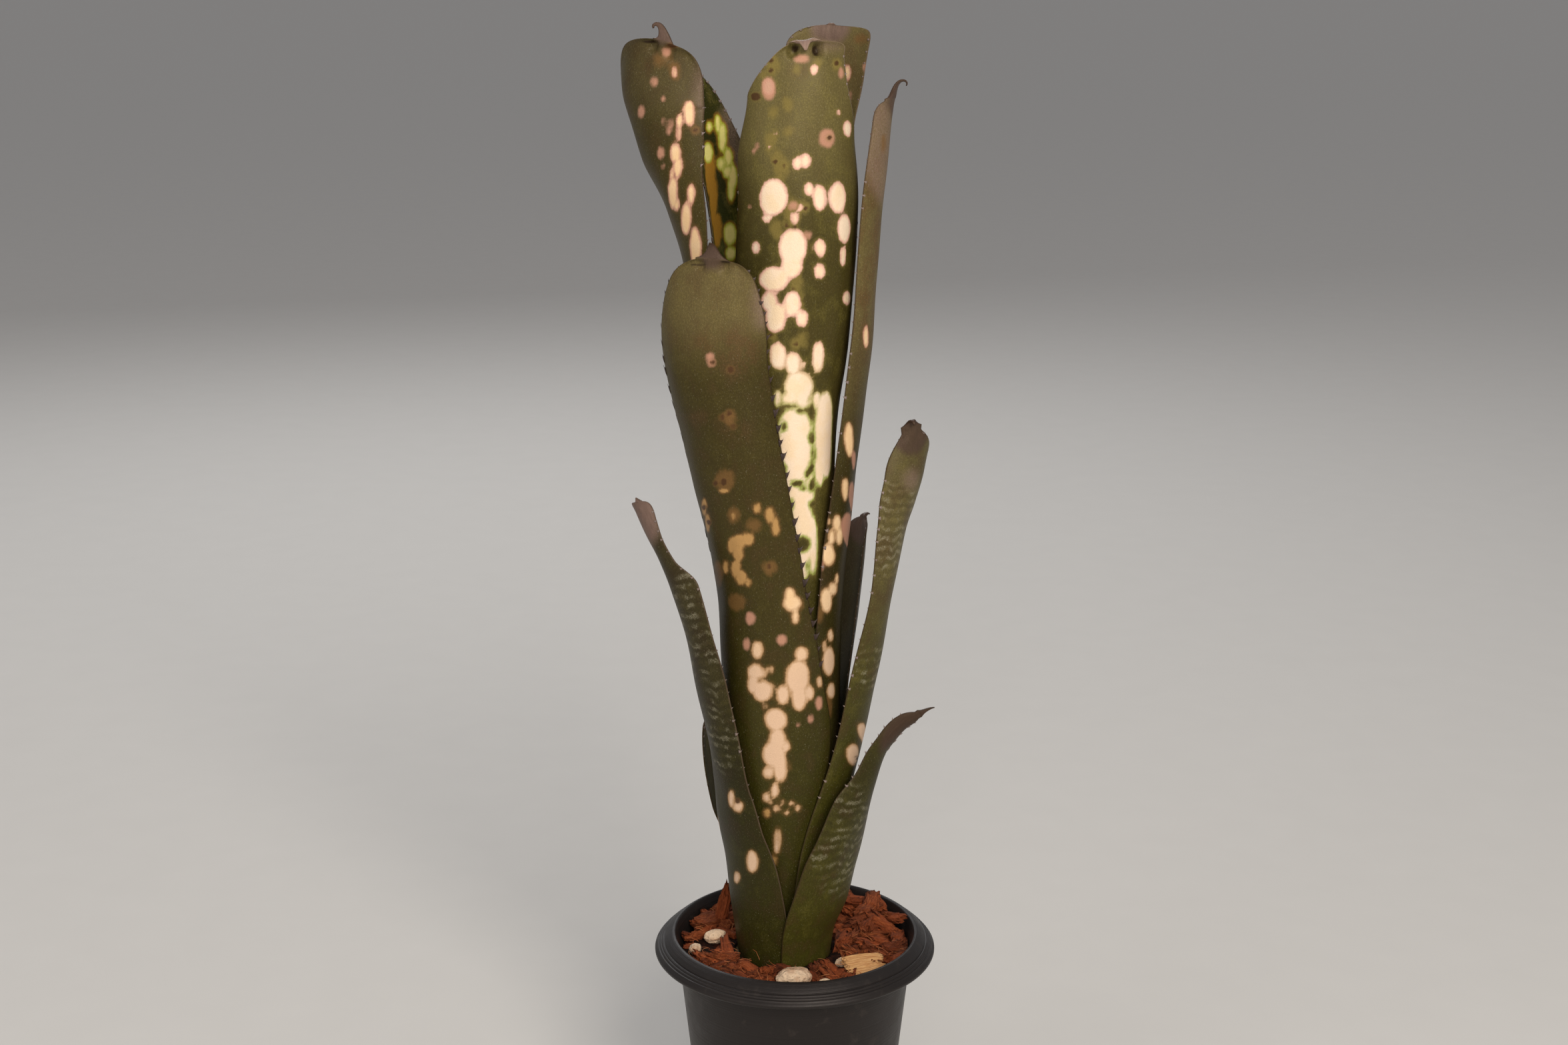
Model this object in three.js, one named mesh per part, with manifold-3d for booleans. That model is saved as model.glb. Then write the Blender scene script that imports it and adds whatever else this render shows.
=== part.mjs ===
// A potted tubular bromeliad: a tight upright tube of strap leaves, each with a
// hooked tip and toothed margins, standing in a black nursery pot of bark chips.
// Millimetres, +Z up. The origin is the centre of the pot's underside.

import * as THREE from 'three';
import { mergeVertices } from 'three/addons/utils/BufferGeometryUtils.js';
import Module from 'manifold-3d';

const wasm = await Module();
wasm.setup();

// Pot
const POT_HEIGHT = 88;
const POT_FOOT_RADIUS = 33;
const POT_SHOULDER_RADIUS = 41.6;
const POT_SHOULDER_HEIGHT = 79;
const POT_WALL = 1.4;
const POT_FLOOR = 1.8;
const RIM_RADIUS = 50;
const RIM_EDGE_HEIGHT = 81.2;
const RIM_EDGE = 1.2;
const MOUTH_RADIUS = 42.6;
const RIM_GROOVES = 3;
const RIM_GROOVE_DEPTH = 0.5;
const FOOT_BEVEL = 1;
const DRAIN_HOLES = 6;
const DRAIN_RADIUS = 4;
const DRAIN_RING_RADIUS = 21;
const POT_SIDES = 40;

// Potting mix
const GAP = 0.3;
const MIX_HEIGHT = 81;
const WELL_RADIUS = 18.9;
const WELL_FLOOR = 42;
const CHIP_COUNT = 54;
const CHIP_LENGTHS = [9, 18];
const CHIP_WIDTHS = [3.5, 7];
const CHIP_THICKNESSES = [2, 4];
const CHIP_RING = [21, 38.5];
const CHIP_TILT = 25;
const CHIP_LIFTS = [0, 2];
const BACK_CHIP_LIFTS = [0.2, 5];
const BACK_FROM = 8;
const CHIP_SEED = 4;
const SHARD = { at: [-26, 18], half: [2, 1.4, 7.5], lean: 11 };
const MIX_SIDES = 36;
const SEAT_GAP = 0.45;

// Stem and the tube of leaves
const AXIS_X = -4.2;
const STEM_RADIUS = 18.5;
const STEM_TAPER = [[0.45, 0.5], [0.85, 8], [1, 21]];
const STEM_TOP = 78;
const STEM_SIDES = 28;
const LEAF_FOOT = STEM_TOP + GAP;
const LEAF_THICKNESS = 0.7;
const LAYER_PITCH = 1.15;
const TUBE_CORE = [
  [78, 5], [84, 5.8], [100, 8.0], [117, 9.8], [142, 13.0], [165, 14.8], [200, 15.1],
];
const TUBE_LEVELS = [LEAF_FOOT, 89, 102, 117, 132, 150, 168, 200];
const BLADE_STEP = 20;

// Spines and tip hooks
const SPINE_SPACING = 15;
const SPINE_ROOT = 0.9;
const SPINE_SINK = 0.7;
const SPINE_THICKNESS = 0.25;
const HOOK_STEPS = 4;
const TIP_ROWS = [0.35, 0.62, 0.82, 0.94, 1];

// The leaves from the innermost layer outwards. azimuth is the side of the tube that the
// midrib runs up, in degrees from the front, growing towards +X. wrap is half the angle that
// the leaf wraps round the tube, at its foot and where it leaves the tube. Each blade station
// is height, place across and place in depth from the tube's axis, the side that the outer
// face looks to, half the width, and the radius of the channel.
const LEAVES = [
  {
    name: 'leaf_inner', layer: 0, azimuth: 165, wrap: [85, 82], leaves: 200, columns: 8,
    colour: 0x4a5434, spine: 1.2, tip: 15, blunt: 3, hook: { length: 5, half: 2.6, turn: 110 },
    blade: [
      [240, 3.4, 15.1, 165, 21.5, 15.3], [262, 3, 15.6, 165, 21.5, 15.8],
      [320, 7.8, 16.5, 165, 21.5, 17.8],
      [370, 8.8, 17.4, 165, 20.8, 20], [388, 12.7, 17.6, 165, 21, 21], [402.5, 15.5, 17.8, 165, 21, 22],
    ],
  },
  {
    name: 'leaf_centre', layer: 1, azimuth: 10, wrap: [90, 84], leaves: 200, columns: 10,
    colour: 0x6d6a44, spine: 1.2, tip: 58, blunt: 2.1, hook: { length: 6, half: 3.4, turn: 130 },
    blade: [
      [232, 3.2, -17.4, 10, 26, 17.6], [261, 2, -18.4, 10, 27.4, 18.6], [315, 6.5, -19.2, 10, 29, 19.9],
      [345, 8.2, -19.2, 10, 30, 20.1], [364, 7.6, -18.7, 10, 28.5, 20], [384, 6.6, -16.4, 10, 27, 21],
      [399.5, 8.5, -13.5, 10, 27, 22],
    ],
  },
  {
    name: 'leaf_back_left', layer: 2, azimuth: -130, wrap: [80, 58], leaves: 200, columns: 8,
    colour: 0x5a6630, spine: 1.2, tip: 46, blunt: 2, hook: { length: 4, half: 1.6, turn: 90 },
    blade: [
      [260, -15.4, 13.2, -130, 16.6, 17], [320, -18.6, 14.4, -130, 15.6, 17], [346, -21, 15, -130, 15, 17],
      [371, -26.4, 15.4, -130, 13.4, 17.5], [388, -30, 15, -130, 13, 18],
    ],
  },
  {
    name: 'leaf_left', layer: 3, azimuth: -85, wrap: [80, 66], leaves: 200, columns: 8,
    colour: 0x3c3a26, spine: 1.2, tip: 19, blunt: 2.8, hook: { length: 6.5, half: 2.8, turn: 60 },
    blade: [
      [240, -21.6, -1.7, -85, 18.5, 17.8], [280, -26, -1.6, -85, 15.8, 16.8], [326, -32.6, -1.6, -82, 15, 16],
      [343, -37, -3.6, -73, 16.6, 17], [361, -41.6, -5, -56, 19.4, 20], [378, -43.2, -6, -41, 20.8, 22],
      [399.5, -40.5, -6, -36, 20.8, 24],
    ],
  },
  {
    name: 'leaf_right', layer: 4, azimuth: 80, wrap: [80, 46], leaves: 200, columns: 8,
    colour: 0x4a4a32, spine: 1.4, tip: 22, blunt: 2.3, hook: { length: 5.6, half: 1.8, turn: 150 },
    blade: [
      [222, 20.8, -3.6, 80, 15, 18], [271, 26, -3.2, 80, 12.6, 14], [305, 29.6, -3.2, 80, 11.8, 12.5],
      [343, 33.3, -3.2, 80, 11.5, 12], [385, 36.3, -3.2, 80, 10.5, 11],
    ],
  },
  {
    name: 'leaf_front', layer: 5, azimuth: -30, wrap: [92, 82], leaves: 168, columns: 10,
    colour: 0x4b4a33, spine: 1.2, tip: 32, blunt: 2.3, hook: { length: 5.5, half: 3.0, turn: 100 },
    blade: [
      [185, -10.5, -18.2, -30, 26, 20.7], [208, -11, -19, -29, 22, 20.9], [222, -12.2, -20.2, -27, 20, 21],
      [240, -15.2, -21.8, -25, 20, 21], [254, -17.9, -23, -24, 20.2, 21], [267, -20.2, -24, -22, 20.6, 21],
      [302, -24.6, -25, -20, 20.4, 23], [332, -23, -23.5, -20, 20.4, 27],
    ],
  },
  {
    name: 'leaf_back_right', layer: 6, azimuth: 120, wrap: [55, 42], leaves: 150, columns: 6,
    colour: 0x3c3640, spine: 1.2, tip: 20, blunt: 2, hook: { length: 4, half: 1.6, turn: 60 },
    blade: [
      [176, 19.8, 11.4, 120, 13, 18], [206, 24.8, 13.6, 118, 11, 13], [238, 28, 15, 115, 9, 11],
    ],
  },
  {
    name: 'leaf_right_middle', layer: 7, azimuth: 75, wrap: [72, 58], leaves: 117, columns: 8,
    colour: 0x46503a, spine: 1.4, tip: 10, blunt: 3, hook: { length: 3.4, half: 2.2, turn: 40 },
    blade: [
      [157, 26.6, -4.5, 75, 15.4, 16.5], [196, 34.4, -6, 75, 13.4, 14], [236, 41.2, -7, 68, 12.6, 13],
      [257, 45.4, -8, 50, 12.6, 15], [272, 45, -9, 42, 12.6, 16],
    ],
  },
  {
    name: 'leaf_back_low', layer: 8, azimuth: -136, wrap: [50, 24], leaves: 102, columns: 6,
    colour: 0x3f5226, spine: 1.2, tip: 18, blunt: 2, hook: { length: 3, half: 1.4, turn: 60 },
    blade: [
      [117, -15, 14.2, -134, 8, 20], [132, -21.4, 14.6, -127, 9.2, 20], [150, -25.6, 14.5, -122, 9, 15],
      [164, -26.5, 14.5, -120, 8, 12],
    ],
  },
  {
    name: 'leaf_left_middle', layer: 9, azimuth: -53, wrap: [68, 48], leaves: 117, columns: 8,
    colour: 0x3d4632, spine: 1.4, tip: 24, blunt: 2.3, hook: { length: 3, half: 1.4, turn: 40 },
    blade: [
      [132, -19.2, -12.4, -57, 15.6, 22.4], [146, -21.4, -11, -62, 14.4, 22], [159, -23.5, -11, -65, 12.4, 19],
      [183, -28.8, -11.2, -66, 12, 15], [202, -32.6, -11.6, -68, 11, 13], [218, -37, -12, -68, 9.6, 11],
      [227, -40.3, -12, -60, 5.6, 8], [248, -50.5, -12, -60, 4.4, 6],
    ],
  },
  {
    name: 'leaf_right_low', layer: 10, azimuth: 62, wrap: [64, 63], leaves: 89, columns: 8,
    colour: 0x4a4434, spine: 1.9, tip: 14, blunt: 2, hook: { length: 3, half: 1.0, turn: 20 },
    blade: [
      [102, 20.6, -10, 62, 22.6, 20.8], [117, 23.8, -11.4, 62, 21.6, 22],
      [131, 27.8, -12, 64, 18.6, 20],
      [142, 30.6, -12, 66, 16.4, 16], [151, 33, -12, 69, 9.6, 11], [162, 38, -12, 72, 6.4, 7],
      [174, 50, -12, 74, 4.8, 5],
    ],
  },
];

// Loose pieces on the mix: place across and in depth, half sizes, turn about +Z, in degrees
const PEBBLES = [
  { name: 'pebble_1', at: [-0.5, -31], half: [6.6, 4.6, 3.6], turn: 8 },
  { name: 'pebble_2', at: [-28.5, 4], half: [4.4, 3.4, 2.6], turn: 30 },
  { name: 'pebble_3', at: [10.5, -31.5], half: [2.4, 2, 1.7], turn: 0 },
  { name: 'pebble_4', at: [16.5, -15.5], half: [2.6, 2.1, 1.7], turn: 40 },
  { name: 'pebble_5', at: [-35.5, -5], half: [2.8, 2.3, 1.9], turn: 70 },
];
const PEBBLE_SHAKE = [0.9, 1.06];
const PEBBLE_FLAT = 0.8;
const PEBBLE_SINK = 0.8;
const PEBBLE_SEED = 5;
const WOOD_CHIP = { at: [24.5, -21.5], half: [7, 4.6, 1.3], turn: 24, tilt: 32, lift: 2.2, seed: 3 };

const radians = (degrees) => (degrees * Math.PI) / 180;

// Random numbers between 0 and 1 that are the same on every run
function randomFrom(seed) {
  let state = seed;
  return () => {
    state = (state * 1664525 + 1013904223) % 4294967296;
    return state / 4294967296;
  };
}

const between = (random, [low, high]) => low + (high - low) * random();

// Smooth value through rising points, without overshoot
function through(points, x, column = 1) {
  const last = points.length - 1;
  if (x <= points[0][0]) return points[0][column];
  if (x >= points[last][0]) return points[last][column];
  const slope = (i) => (points[i + 1][column] - points[i][column]) / (points[i + 1][0] - points[i][0]);
  const tangent = (i) => {
    if (i === 0) return slope(0);
    if (i === last) return slope(last - 1);
    const before = slope(i - 1);
    const after = slope(i);
    return before * after <= 0 ? 0 : (2 * before * after) / (before + after);
  };
  let i = 0;
  while (x > points[i + 1][0]) i += 1;
  const span = points[i + 1][0] - points[i][0];
  const t = (x - points[i][0]) / span;
  return (
    (1 + 2 * t) * (1 - t) ** 2 * points[i][column] + t * (1 - t) ** 2 * span * tangent(i)
    + t * t * (3 - 2 * t) * points[i + 1][column] - t * t * (1 - t) * span * tangent(i + 1)
  );
}

// Closed mesh from positions and triangles
function meshGeometry(positions, triangles) {
  const geometry = new THREE.BufferGeometry();
  geometry.setAttribute('position', new THREE.Float32BufferAttribute(positions, 3));
  geometry.setIndex(triangles);
  return geometry;
}

function toSolid(geometry) {
  const bare = geometry.clone();
  bare.deleteAttribute('normal');
  bare.deleteAttribute('uv');
  const merged = mergeVertices(bare, 1e-4);
  return new wasm.Manifold(new wasm.Mesh({
    numProp: 3,
    vertProperties: new Float32Array(merged.attributes.position.array),
    triVerts: new Uint32Array(merged.index.array),
  }));
}

function toGeometry(solid) {
  const mesh = solid.getMesh();
  return meshGeometry(Array.from(mesh.vertProperties), Array.from(mesh.triVerts));
}

// Solid of revolution about +Z from a closed outline of radius and height
function turned(outline, sides) {
  const points = outline.map(([radius, height]) => new THREE.Vector2(radius, height));
  return new THREE.LatheGeometry(points, sides).rotateX(Math.PI / 2);
}

// Ridges and grooves down the sloping face of the rim, from its edge to the mouth
function rimOutline() {
  const start = [RIM_RADIUS - RIM_EDGE, RIM_EDGE_HEIGHT + 2 * RIM_EDGE];
  const end = [MOUTH_RADIUS + 0.8, POT_HEIGHT];
  const on = (share) => [0, 1].map((k) => start[k] + (end[k] - start[k]) * share);
  const outline = [];
  for (let i = 0; i < RIM_GROOVES; i += 1) {
    const [radius, height] = on((i + 0.5) / RIM_GROOVES);
    outline.push(on((i + 0.1) / RIM_GROOVES));
    outline.push([radius - RIM_GROOVE_DEPTH * 0.6, height - RIM_GROOVE_DEPTH]);
  }
  return [...outline, end];
}

function potOutline() {
  const floorCorner = POT_FOOT_RADIUS - POT_WALL;
  const neck = POT_SHOULDER_RADIUS - POT_WALL;
  return [
    [0, 0],
    [POT_FOOT_RADIUS - FOOT_BEVEL, 0],
    [POT_FOOT_RADIUS, FOOT_BEVEL],
    [POT_SHOULDER_RADIUS, POT_SHOULDER_HEIGHT],
    [RIM_RADIUS - RIM_EDGE, RIM_EDGE_HEIGHT - RIM_EDGE / 2],
    [RIM_RADIUS, RIM_EDGE_HEIGHT + RIM_EDGE / 3],
    [RIM_RADIUS - RIM_EDGE / 4, RIM_EDGE_HEIGHT + 1.5 * RIM_EDGE],
    ...rimOutline(),
    [MOUTH_RADIUS, POT_HEIGHT - 0.8],
    [neck + 0.4, RIM_EDGE_HEIGHT - 0.5],
    [neck, POT_SHOULDER_HEIGHT - 2],
    [floorCorner, POT_FLOOR + FOOT_BEVEL],
    [floorCorner - FOOT_BEVEL, POT_FLOOR],
    [0, POT_FLOOR],
  ];
}

function pot() {
  let solid = toSolid(turned(potOutline(), POT_SIDES));
  for (let i = 0; i < DRAIN_HOLES; i += 1) {
    const angle = (2 * Math.PI * i) / DRAIN_HOLES;
    const drill = new THREE.CylinderGeometry(DRAIN_RADIUS, DRAIN_RADIUS, 3 * POT_FLOOR, 12);
    drill.rotateX(Math.PI / 2);
    drill.translate(DRAIN_RING_RADIUS, 0, POT_FLOOR / 2);
    drill.rotateZ(angle);
    solid = solid.subtract(toSolid(drill));
  }
  return toGeometry(solid);
}

// Inner radius of the pot at a height
function potInside(height) {
  const low = POT_FOOT_RADIUS - POT_WALL;
  const high = POT_SHOULDER_RADIUS - POT_WALL;
  return low + ((high - low) * height) / POT_SHOULDER_HEIGHT;
}

// Box with its position alone, so that it joins into a closed solid
function bareBox([x, y, z]) {
  const box = new THREE.BoxGeometry(2 * x, 2 * y, 2 * z);
  box.deleteAttribute('normal');
  box.deleteAttribute('uv');
  return mergeVertices(box, 1e-4);
}

// Irregular block with eight shaken corners
function splinter(random, half) {
  const block = bareBox(half);
  const place = block.attributes.position;
  for (let i = 0; i < place.count; i += 1) {
    const taper = between(random, [0.55, 1]);
    const shrink = between(random, [0.8, 1]);
    place.setXYZ(i, place.getX(i) * shrink, place.getY(i) * taper, place.getZ(i) * taper);
  }
  return block;
}

// One bark chip on the mix, turned and tilted at random
function barkChip(random) {
  const ranges = [CHIP_LENGTHS, CHIP_WIDTHS, CHIP_THICKNESSES];
  const half = ranges.map((range) => between(random, range) / 2);
  const angle = 2 * Math.PI * random();
  const radius = Math.sqrt(between(random, CHIP_RING.map((edge) => edge ** 2)));
  const at = [radius * Math.cos(angle), radius * Math.sin(angle)];
  const chip = splinter(random, half);
  chip.rotateX(radians(between(random, [-CHIP_TILT, CHIP_TILT])));
  chip.rotateY(radians(between(random, [-CHIP_TILT, CHIP_TILT])));
  chip.rotateZ(2 * Math.PI * random());
  const lift = between(random, at[1] > BACK_FROM ? BACK_CHIP_LIFTS : CHIP_LIFTS);
  chip.translate(...at, MIX_HEIGHT + lift);
  return { chip, at, reach: 0.4 * half[0] };
}

// Whether a chip leaves the pebbles and the wood chip in sight
function clearOfLoose(at, reach) {
  const loose = [...PEBBLES, WOOD_CHIP];
  return loose.every((piece) => (
    Math.hypot(at[0] - piece.at[0], at[1] - piece.at[1]) > piece.half[1] + reach
  ));
}

// Whether a chip lies inside the pot's wall and mouth
function insidePot(chip) {
  const place = chip.attributes.position;
  for (let i = 0; i < place.count; i += 1) {
    const height = place.getZ(i);
    const wall = potInside(Math.min(height, MIX_HEIGHT)) + Math.max(0, height - MIX_HEIGHT) * 0.2;
    if (Math.hypot(place.getX(i), place.getY(i)) > wall - 2 * GAP) return false;
  }
  return true;
}

function pottingMix() {
  const low = POT_FLOOR + GAP;
  const foot = potInside(POT_FLOOR) - FOOT_BEVEL - GAP;
  const top = potInside(MIX_HEIGHT) - GAP;
  const plug = turned([[0, low], [foot, low], [top, MIX_HEIGHT], [0, MIX_HEIGHT]], MIX_SIDES);
  const well = new THREE.CylinderGeometry(WELL_RADIUS, WELL_RADIUS, POT_HEIGHT, STEM_SIDES);
  well.rotateX(Math.PI / 2).translate(AXIS_X, 0, WELL_FLOOR + POT_HEIGHT / 2);
  const shard = bareBox(SHARD.half).rotateY(radians(SHARD.lean));
  shard.translate(...SHARD.at, MIX_HEIGHT + SHARD.half[2] - 1);
  const random = randomFrom(CHIP_SEED);
  const chips = [toSolid(shard)];
  while (chips.length < CHIP_COUNT) {
    const { chip, at, reach } = barkChip(random);
    if (clearOfLoose(at, reach) && insidePot(chip)) chips.push(toSolid(chip));
  }
  const seats = [...pebbles(SEAT_GAP), woodChip(SEAT_GAP)].map(toSolid);
  const heap = wasm.Manifold.union([toSolid(plug), ...chips]).subtract(
    wasm.Manifold.union([toSolid(well), ...seats]),
  );
  const [largest] = heap.decompose().sort((a, b) => b.volume() - a.volume());
  return toGeometry(largest);
}

function stem() {
  const low = WELL_FLOOR + GAP;
  const outline = [[0, low], ...STEM_TAPER.map(([share, rise]) => [STEM_RADIUS * share, low + rise])];
  outline.push([STEM_RADIUS, STEM_TOP], [0, STEM_TOP]);
  return toGeometry(toSolid(turned(outline, STEM_SIDES))).translate(AXIS_X, 0, 0);
}

// Stations of a leaf from its foot to its apex: the nested foot, then the blade
function stations(leaf) {
  const side = radians(leaf.azimuth);
  const nested = TUBE_LEVELS.filter((height) => height <= leaf.leaves).map((height) => {
    const radius = through(TUBE_CORE, height) + LAYER_PITCH * leaf.layer;
    const share = (height - LEAF_FOOT) / (leaf.leaves - LEAF_FOOT);
    const wrap = radians(leaf.wrap[0] + (leaf.wrap[1] - leaf.wrap[0]) * share);
    const [x, y] = [radius * Math.sin(side), -radius * Math.cos(side)];
    return [height, x, y, leaf.azimuth, wrap * radius, radius];
  });
  return [...nested, ...leaf.blade];
}

// Heights at which a leaf has a row of points
function rowHeights(leaf, apex) {
  const heights = TUBE_LEVELS.filter((height) => height <= leaf.leaves);
  const tipStart = apex - leaf.tip;
  const steps = Math.max(1, Math.round((tipStart - heights.at(-1)) / BLADE_STEP));
  const from = heights.at(-1);
  for (let i = 1; i <= steps; i += 1) heights.push(from + ((tipStart - from) * i) / steps);
  for (const share of TIP_ROWS) heights.push(tipStart + leaf.tip * share);
  return heights;
}

// Frame of a leaf at one height: midrib point, outward, sideways and upward directions, half
// width and channel radius
function sectionAt(leaf, points, height) {
  const apex = points.at(-1)[0];
  const value = (column, at = height) => through(points, at, column);
  const step = 0.5;
  const rise = new THREE.Vector3(
    value(1, height + step) - value(1, height - step),
    value(2, height + step) - value(2, height - step),
    Math.min(height + step, apex) - Math.max(height - step, LEAF_FOOT),
  ).normalize();
  const level = THREE.MathUtils.clamp(1 - (height - leaf.leaves) / 25, 0, 1);
  const up = rise.lerp(new THREE.Vector3(0, 0, 1), level).normalize();
  const side = radians(value(3));
  const across = new THREE.Vector3(Math.cos(side), Math.sin(side), 0);
  across.addScaledVector(up, -across.dot(up)).normalize();
  const out = new THREE.Vector3().crossVectors(across, up);
  const towardsTip = THREE.MathUtils.clamp(1 - (apex - height) / leaf.tip, 0, 1);
  const rounding = (1 - towardsTip ** leaf.blunt) ** (1 / leaf.blunt);
  return {
    at: new THREE.Vector3(value(1) + AXIS_X, value(2), height),
    out, across, up,
    half: Math.max(value(4) * rounding, leaf.hook.half),
    bend: value(5),
  };
}

// The hook bends from the apex over to the leaf's outer side and narrows to a point
function hookSections(leaf, apex) {
  const turn = radians(leaf.hook.turn);
  const radius = leaf.hook.length / turn;
  return Array.from({ length: HOOK_STEPS }, (_, index) => {
    const share = (index + 1) / HOOK_STEPS;
    const angle = turn * share;
    const at = apex.at.clone()
      .addScaledVector(apex.up, radius * Math.sin(angle))
      .addScaledVector(apex.out, radius * (1 - Math.cos(angle)));
    const up = apex.up.clone().multiplyScalar(Math.cos(angle));
    up.addScaledVector(apex.out, Math.sin(angle));
    const out = new THREE.Vector3().crossVectors(apex.across, up);
    const half = leaf.hook.half * (1 - 0.85 * share);
    return { at, up, out, across: apex.across, half, bend: apex.bend };
  });
}

// Point on a section: along is the way from the midrib along the surface, and lift is the
// height over its middle layer
function onSection(section, along, lift = 0) {
  const angle = along / section.bend;
  const radius = section.bend + lift;
  return section.at.clone()
    .addScaledVector(section.out, radius * Math.cos(angle) - section.bend)
    .addScaledVector(section.across, radius * Math.sin(angle));
}

function strip(sections, columns) {
  const positions = [];
  const triangles = [];
  const width = columns + 1;
  for (const section of sections) {
    for (const lift of [LEAF_THICKNESS / 2, -LEAF_THICKNESS / 2]) {
      for (let i = 0; i <= columns; i += 1) {
        positions.push(...onSection(section, section.half * (-1 + (2 * i) / columns), lift));
      }
    }
  }
  const outer = (row, i) => row * 2 * width + i;
  const inner = (row, i) => outer(row, i) + width;
  const quad = (a, b, c, d) => triangles.push(a, b, c, a, c, d);
  for (let row = 0; row + 1 < sections.length; row += 1) {
    for (let i = 0; i < columns; i += 1) {
      quad(outer(row, i), outer(row, i + 1), outer(row + 1, i + 1), outer(row + 1, i));
      triangles.push(inner(row, i), inner(row + 1, i + 1), inner(row, i + 1));
      triangles.push(inner(row, i), inner(row + 1, i), inner(row + 1, i + 1));
    }
    quad(inner(row, 0), outer(row, 0), outer(row + 1, 0), inner(row + 1, 0));
    quad(outer(row, columns), inner(row, columns), inner(row + 1, columns), outer(row + 1, columns));
  }
  const end = sections.length - 1;
  for (let i = 0; i < columns; i += 1) {
    quad(inner(0, i), inner(0, i + 1), outer(0, i + 1), outer(0, i));
    quad(outer(end, i), outer(end, i + 1), inner(end, i + 1), inner(end, i));
  }
  return meshGeometry(positions, triangles);
}

// Point at a height on the edge of the strip, inset from the margin
function marginAt(rows, height, side, inset) {
  let row = 0;
  while (row + 2 < rows.length && rows[row + 1].at.z < height) row += 1;
  const share = (height - rows[row].at.z) / (rows[row + 1].at.z - rows[row].at.z);
  const [low, high] = [rows[row], rows[row + 1]].map((section) => (
    onSection(section, side * (section.half - inset))
  ));
  return low.lerp(high, share);
}

// Three-sided spine on a margin, leaning towards the tip, its root sunk into the leaf
function spine(rows, height, side, length) {
  const root = marginAt(rows, height, side, SPINE_SINK);
  const edge = marginAt(rows, height, side, 0);
  const along = marginAt(rows, height + 1, side, SPINE_SINK).sub(root).normalize();
  const outward = edge.clone().sub(root).normalize();
  const face = new THREE.Vector3().crossVectors(along, outward).normalize();
  const tip = edge.clone().addScaledVector(outward, length).addScaledVector(along, length * 0.6);
  const low = root.clone().addScaledVector(along, -SPINE_ROOT);
  const corners = [
    root.clone().addScaledVector(along, SPINE_ROOT),
    low.clone().addScaledVector(face, SPINE_THICKNESS),
    low.clone().addScaledVector(face, -SPINE_THICKNESS),
    tip,
  ];
  const sides = [0, 1, 2, 0, 3, 1, 1, 3, 2, 2, 3, 0];
  return toSolid(meshGeometry(corners.flatMap((corner) => corner.toArray()), sides));
}

function leafBlade(leaf) {
  const points = stations(leaf);
  const apexHeight = points.at(-1)[0];
  const sections = rowHeights(leaf, apexHeight).map((height) => sectionAt(leaf, points, height));
  const rows = [...sections, ...hookSections(leaf, sections.at(-1))];
  const spines = [];
  const first = leaf.leaves + SPINE_SPACING / 2;
  const last = apexHeight - 3;
  const count = Math.floor((last - first) / SPINE_SPACING);
  for (let i = 0; i <= count; i += 1) {
    const height = first + ((last - first) * i) / count;
    for (const side of [1, -1]) spines.push(spine(sections, height, side, leaf.spine));
  }
  return toGeometry(wasm.Manifold.union([toSolid(strip(rows, leaf.columns)), ...spines]));
}

// Rounded stone with a shaken surface and a flat underside, sunk a little into the mix
function pebble({ at, half, turn }, random, grow) {
  const stone = new THREE.IcosahedronGeometry(1, 1);
  stone.deleteAttribute('normal');
  stone.deleteAttribute('uv');
  const merged = mergeVertices(stone, 1e-4);
  const place = merged.attributes.position;
  for (let i = 0; i < place.count; i += 1) {
    const shake = between(random, PEBBLE_SHAKE);
    const unit = [place.getX(i), place.getY(i), Math.max(place.getZ(i), -PEBBLE_FLAT)];
    place.setXYZ(i, ...unit.map((value, k) => value * shake * (half[k] + grow)));
  }
  merged.rotateZ(radians(turn));
  return merged.translate(...at, MIX_HEIGHT + half[2] - PEBBLE_SINK);
}

// All pebbles, each grown by the same margin
function pebbles(grow = 0) {
  const random = randomFrom(PEBBLE_SEED);
  return PEBBLES.map((stone) => pebble(stone, random, grow));
}

function woodChip(grow = 0) {
  const half = WOOD_CHIP.half.map((value) => value + grow);
  const chip = splinter(randomFrom(WOOD_CHIP.seed), half);
  chip.rotateX(radians(WOOD_CHIP.tilt)).rotateZ(radians(WOOD_CHIP.turn));
  return chip.translate(...WOOD_CHIP.at, MIX_HEIGHT + WOOD_CHIP.lift);
}

function named(name, geometry, color, roughness = 0.6) {
  geometry.computeVertexNormals();
  const mesh = new THREE.Mesh(geometry, new THREE.MeshStandardMaterial({ color, roughness }));
  mesh.name = name;
  return mesh;
}

const plant = new THREE.Group();
plant.add(named('pot', pot(), 0x1c1c1e, 0.5));
plant.add(named('potting_mix', pottingMix(), 0x8a4a2c, 0.95));
plant.add(named('stem', stem(), 0x6a6a3c, 0.8));
for (const leaf of LEAVES) plant.add(named(leaf.name, leafBlade(leaf), leaf.colour));
pebbles().forEach((stone, i) => plant.add(named(PEBBLES[i].name, stone, 0xc9c0ae, 0.9)));
plant.add(named('wood_chip', woodChip(), 0xd9ae72, 0.85));

export default plant;
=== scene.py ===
"""Potted bromeliad in a dark plastic pot: the looks, built around the packed frame."""

import math

import bmesh
import bpy
import numpy as np
from bpy.props import FloatProperty, FloatVectorProperty, IntProperty, PointerProperty
from bpy.types import NodeSocket, Operator, Panel, PropertyGroup
from mathutils import Matrix, Vector, noise


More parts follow.
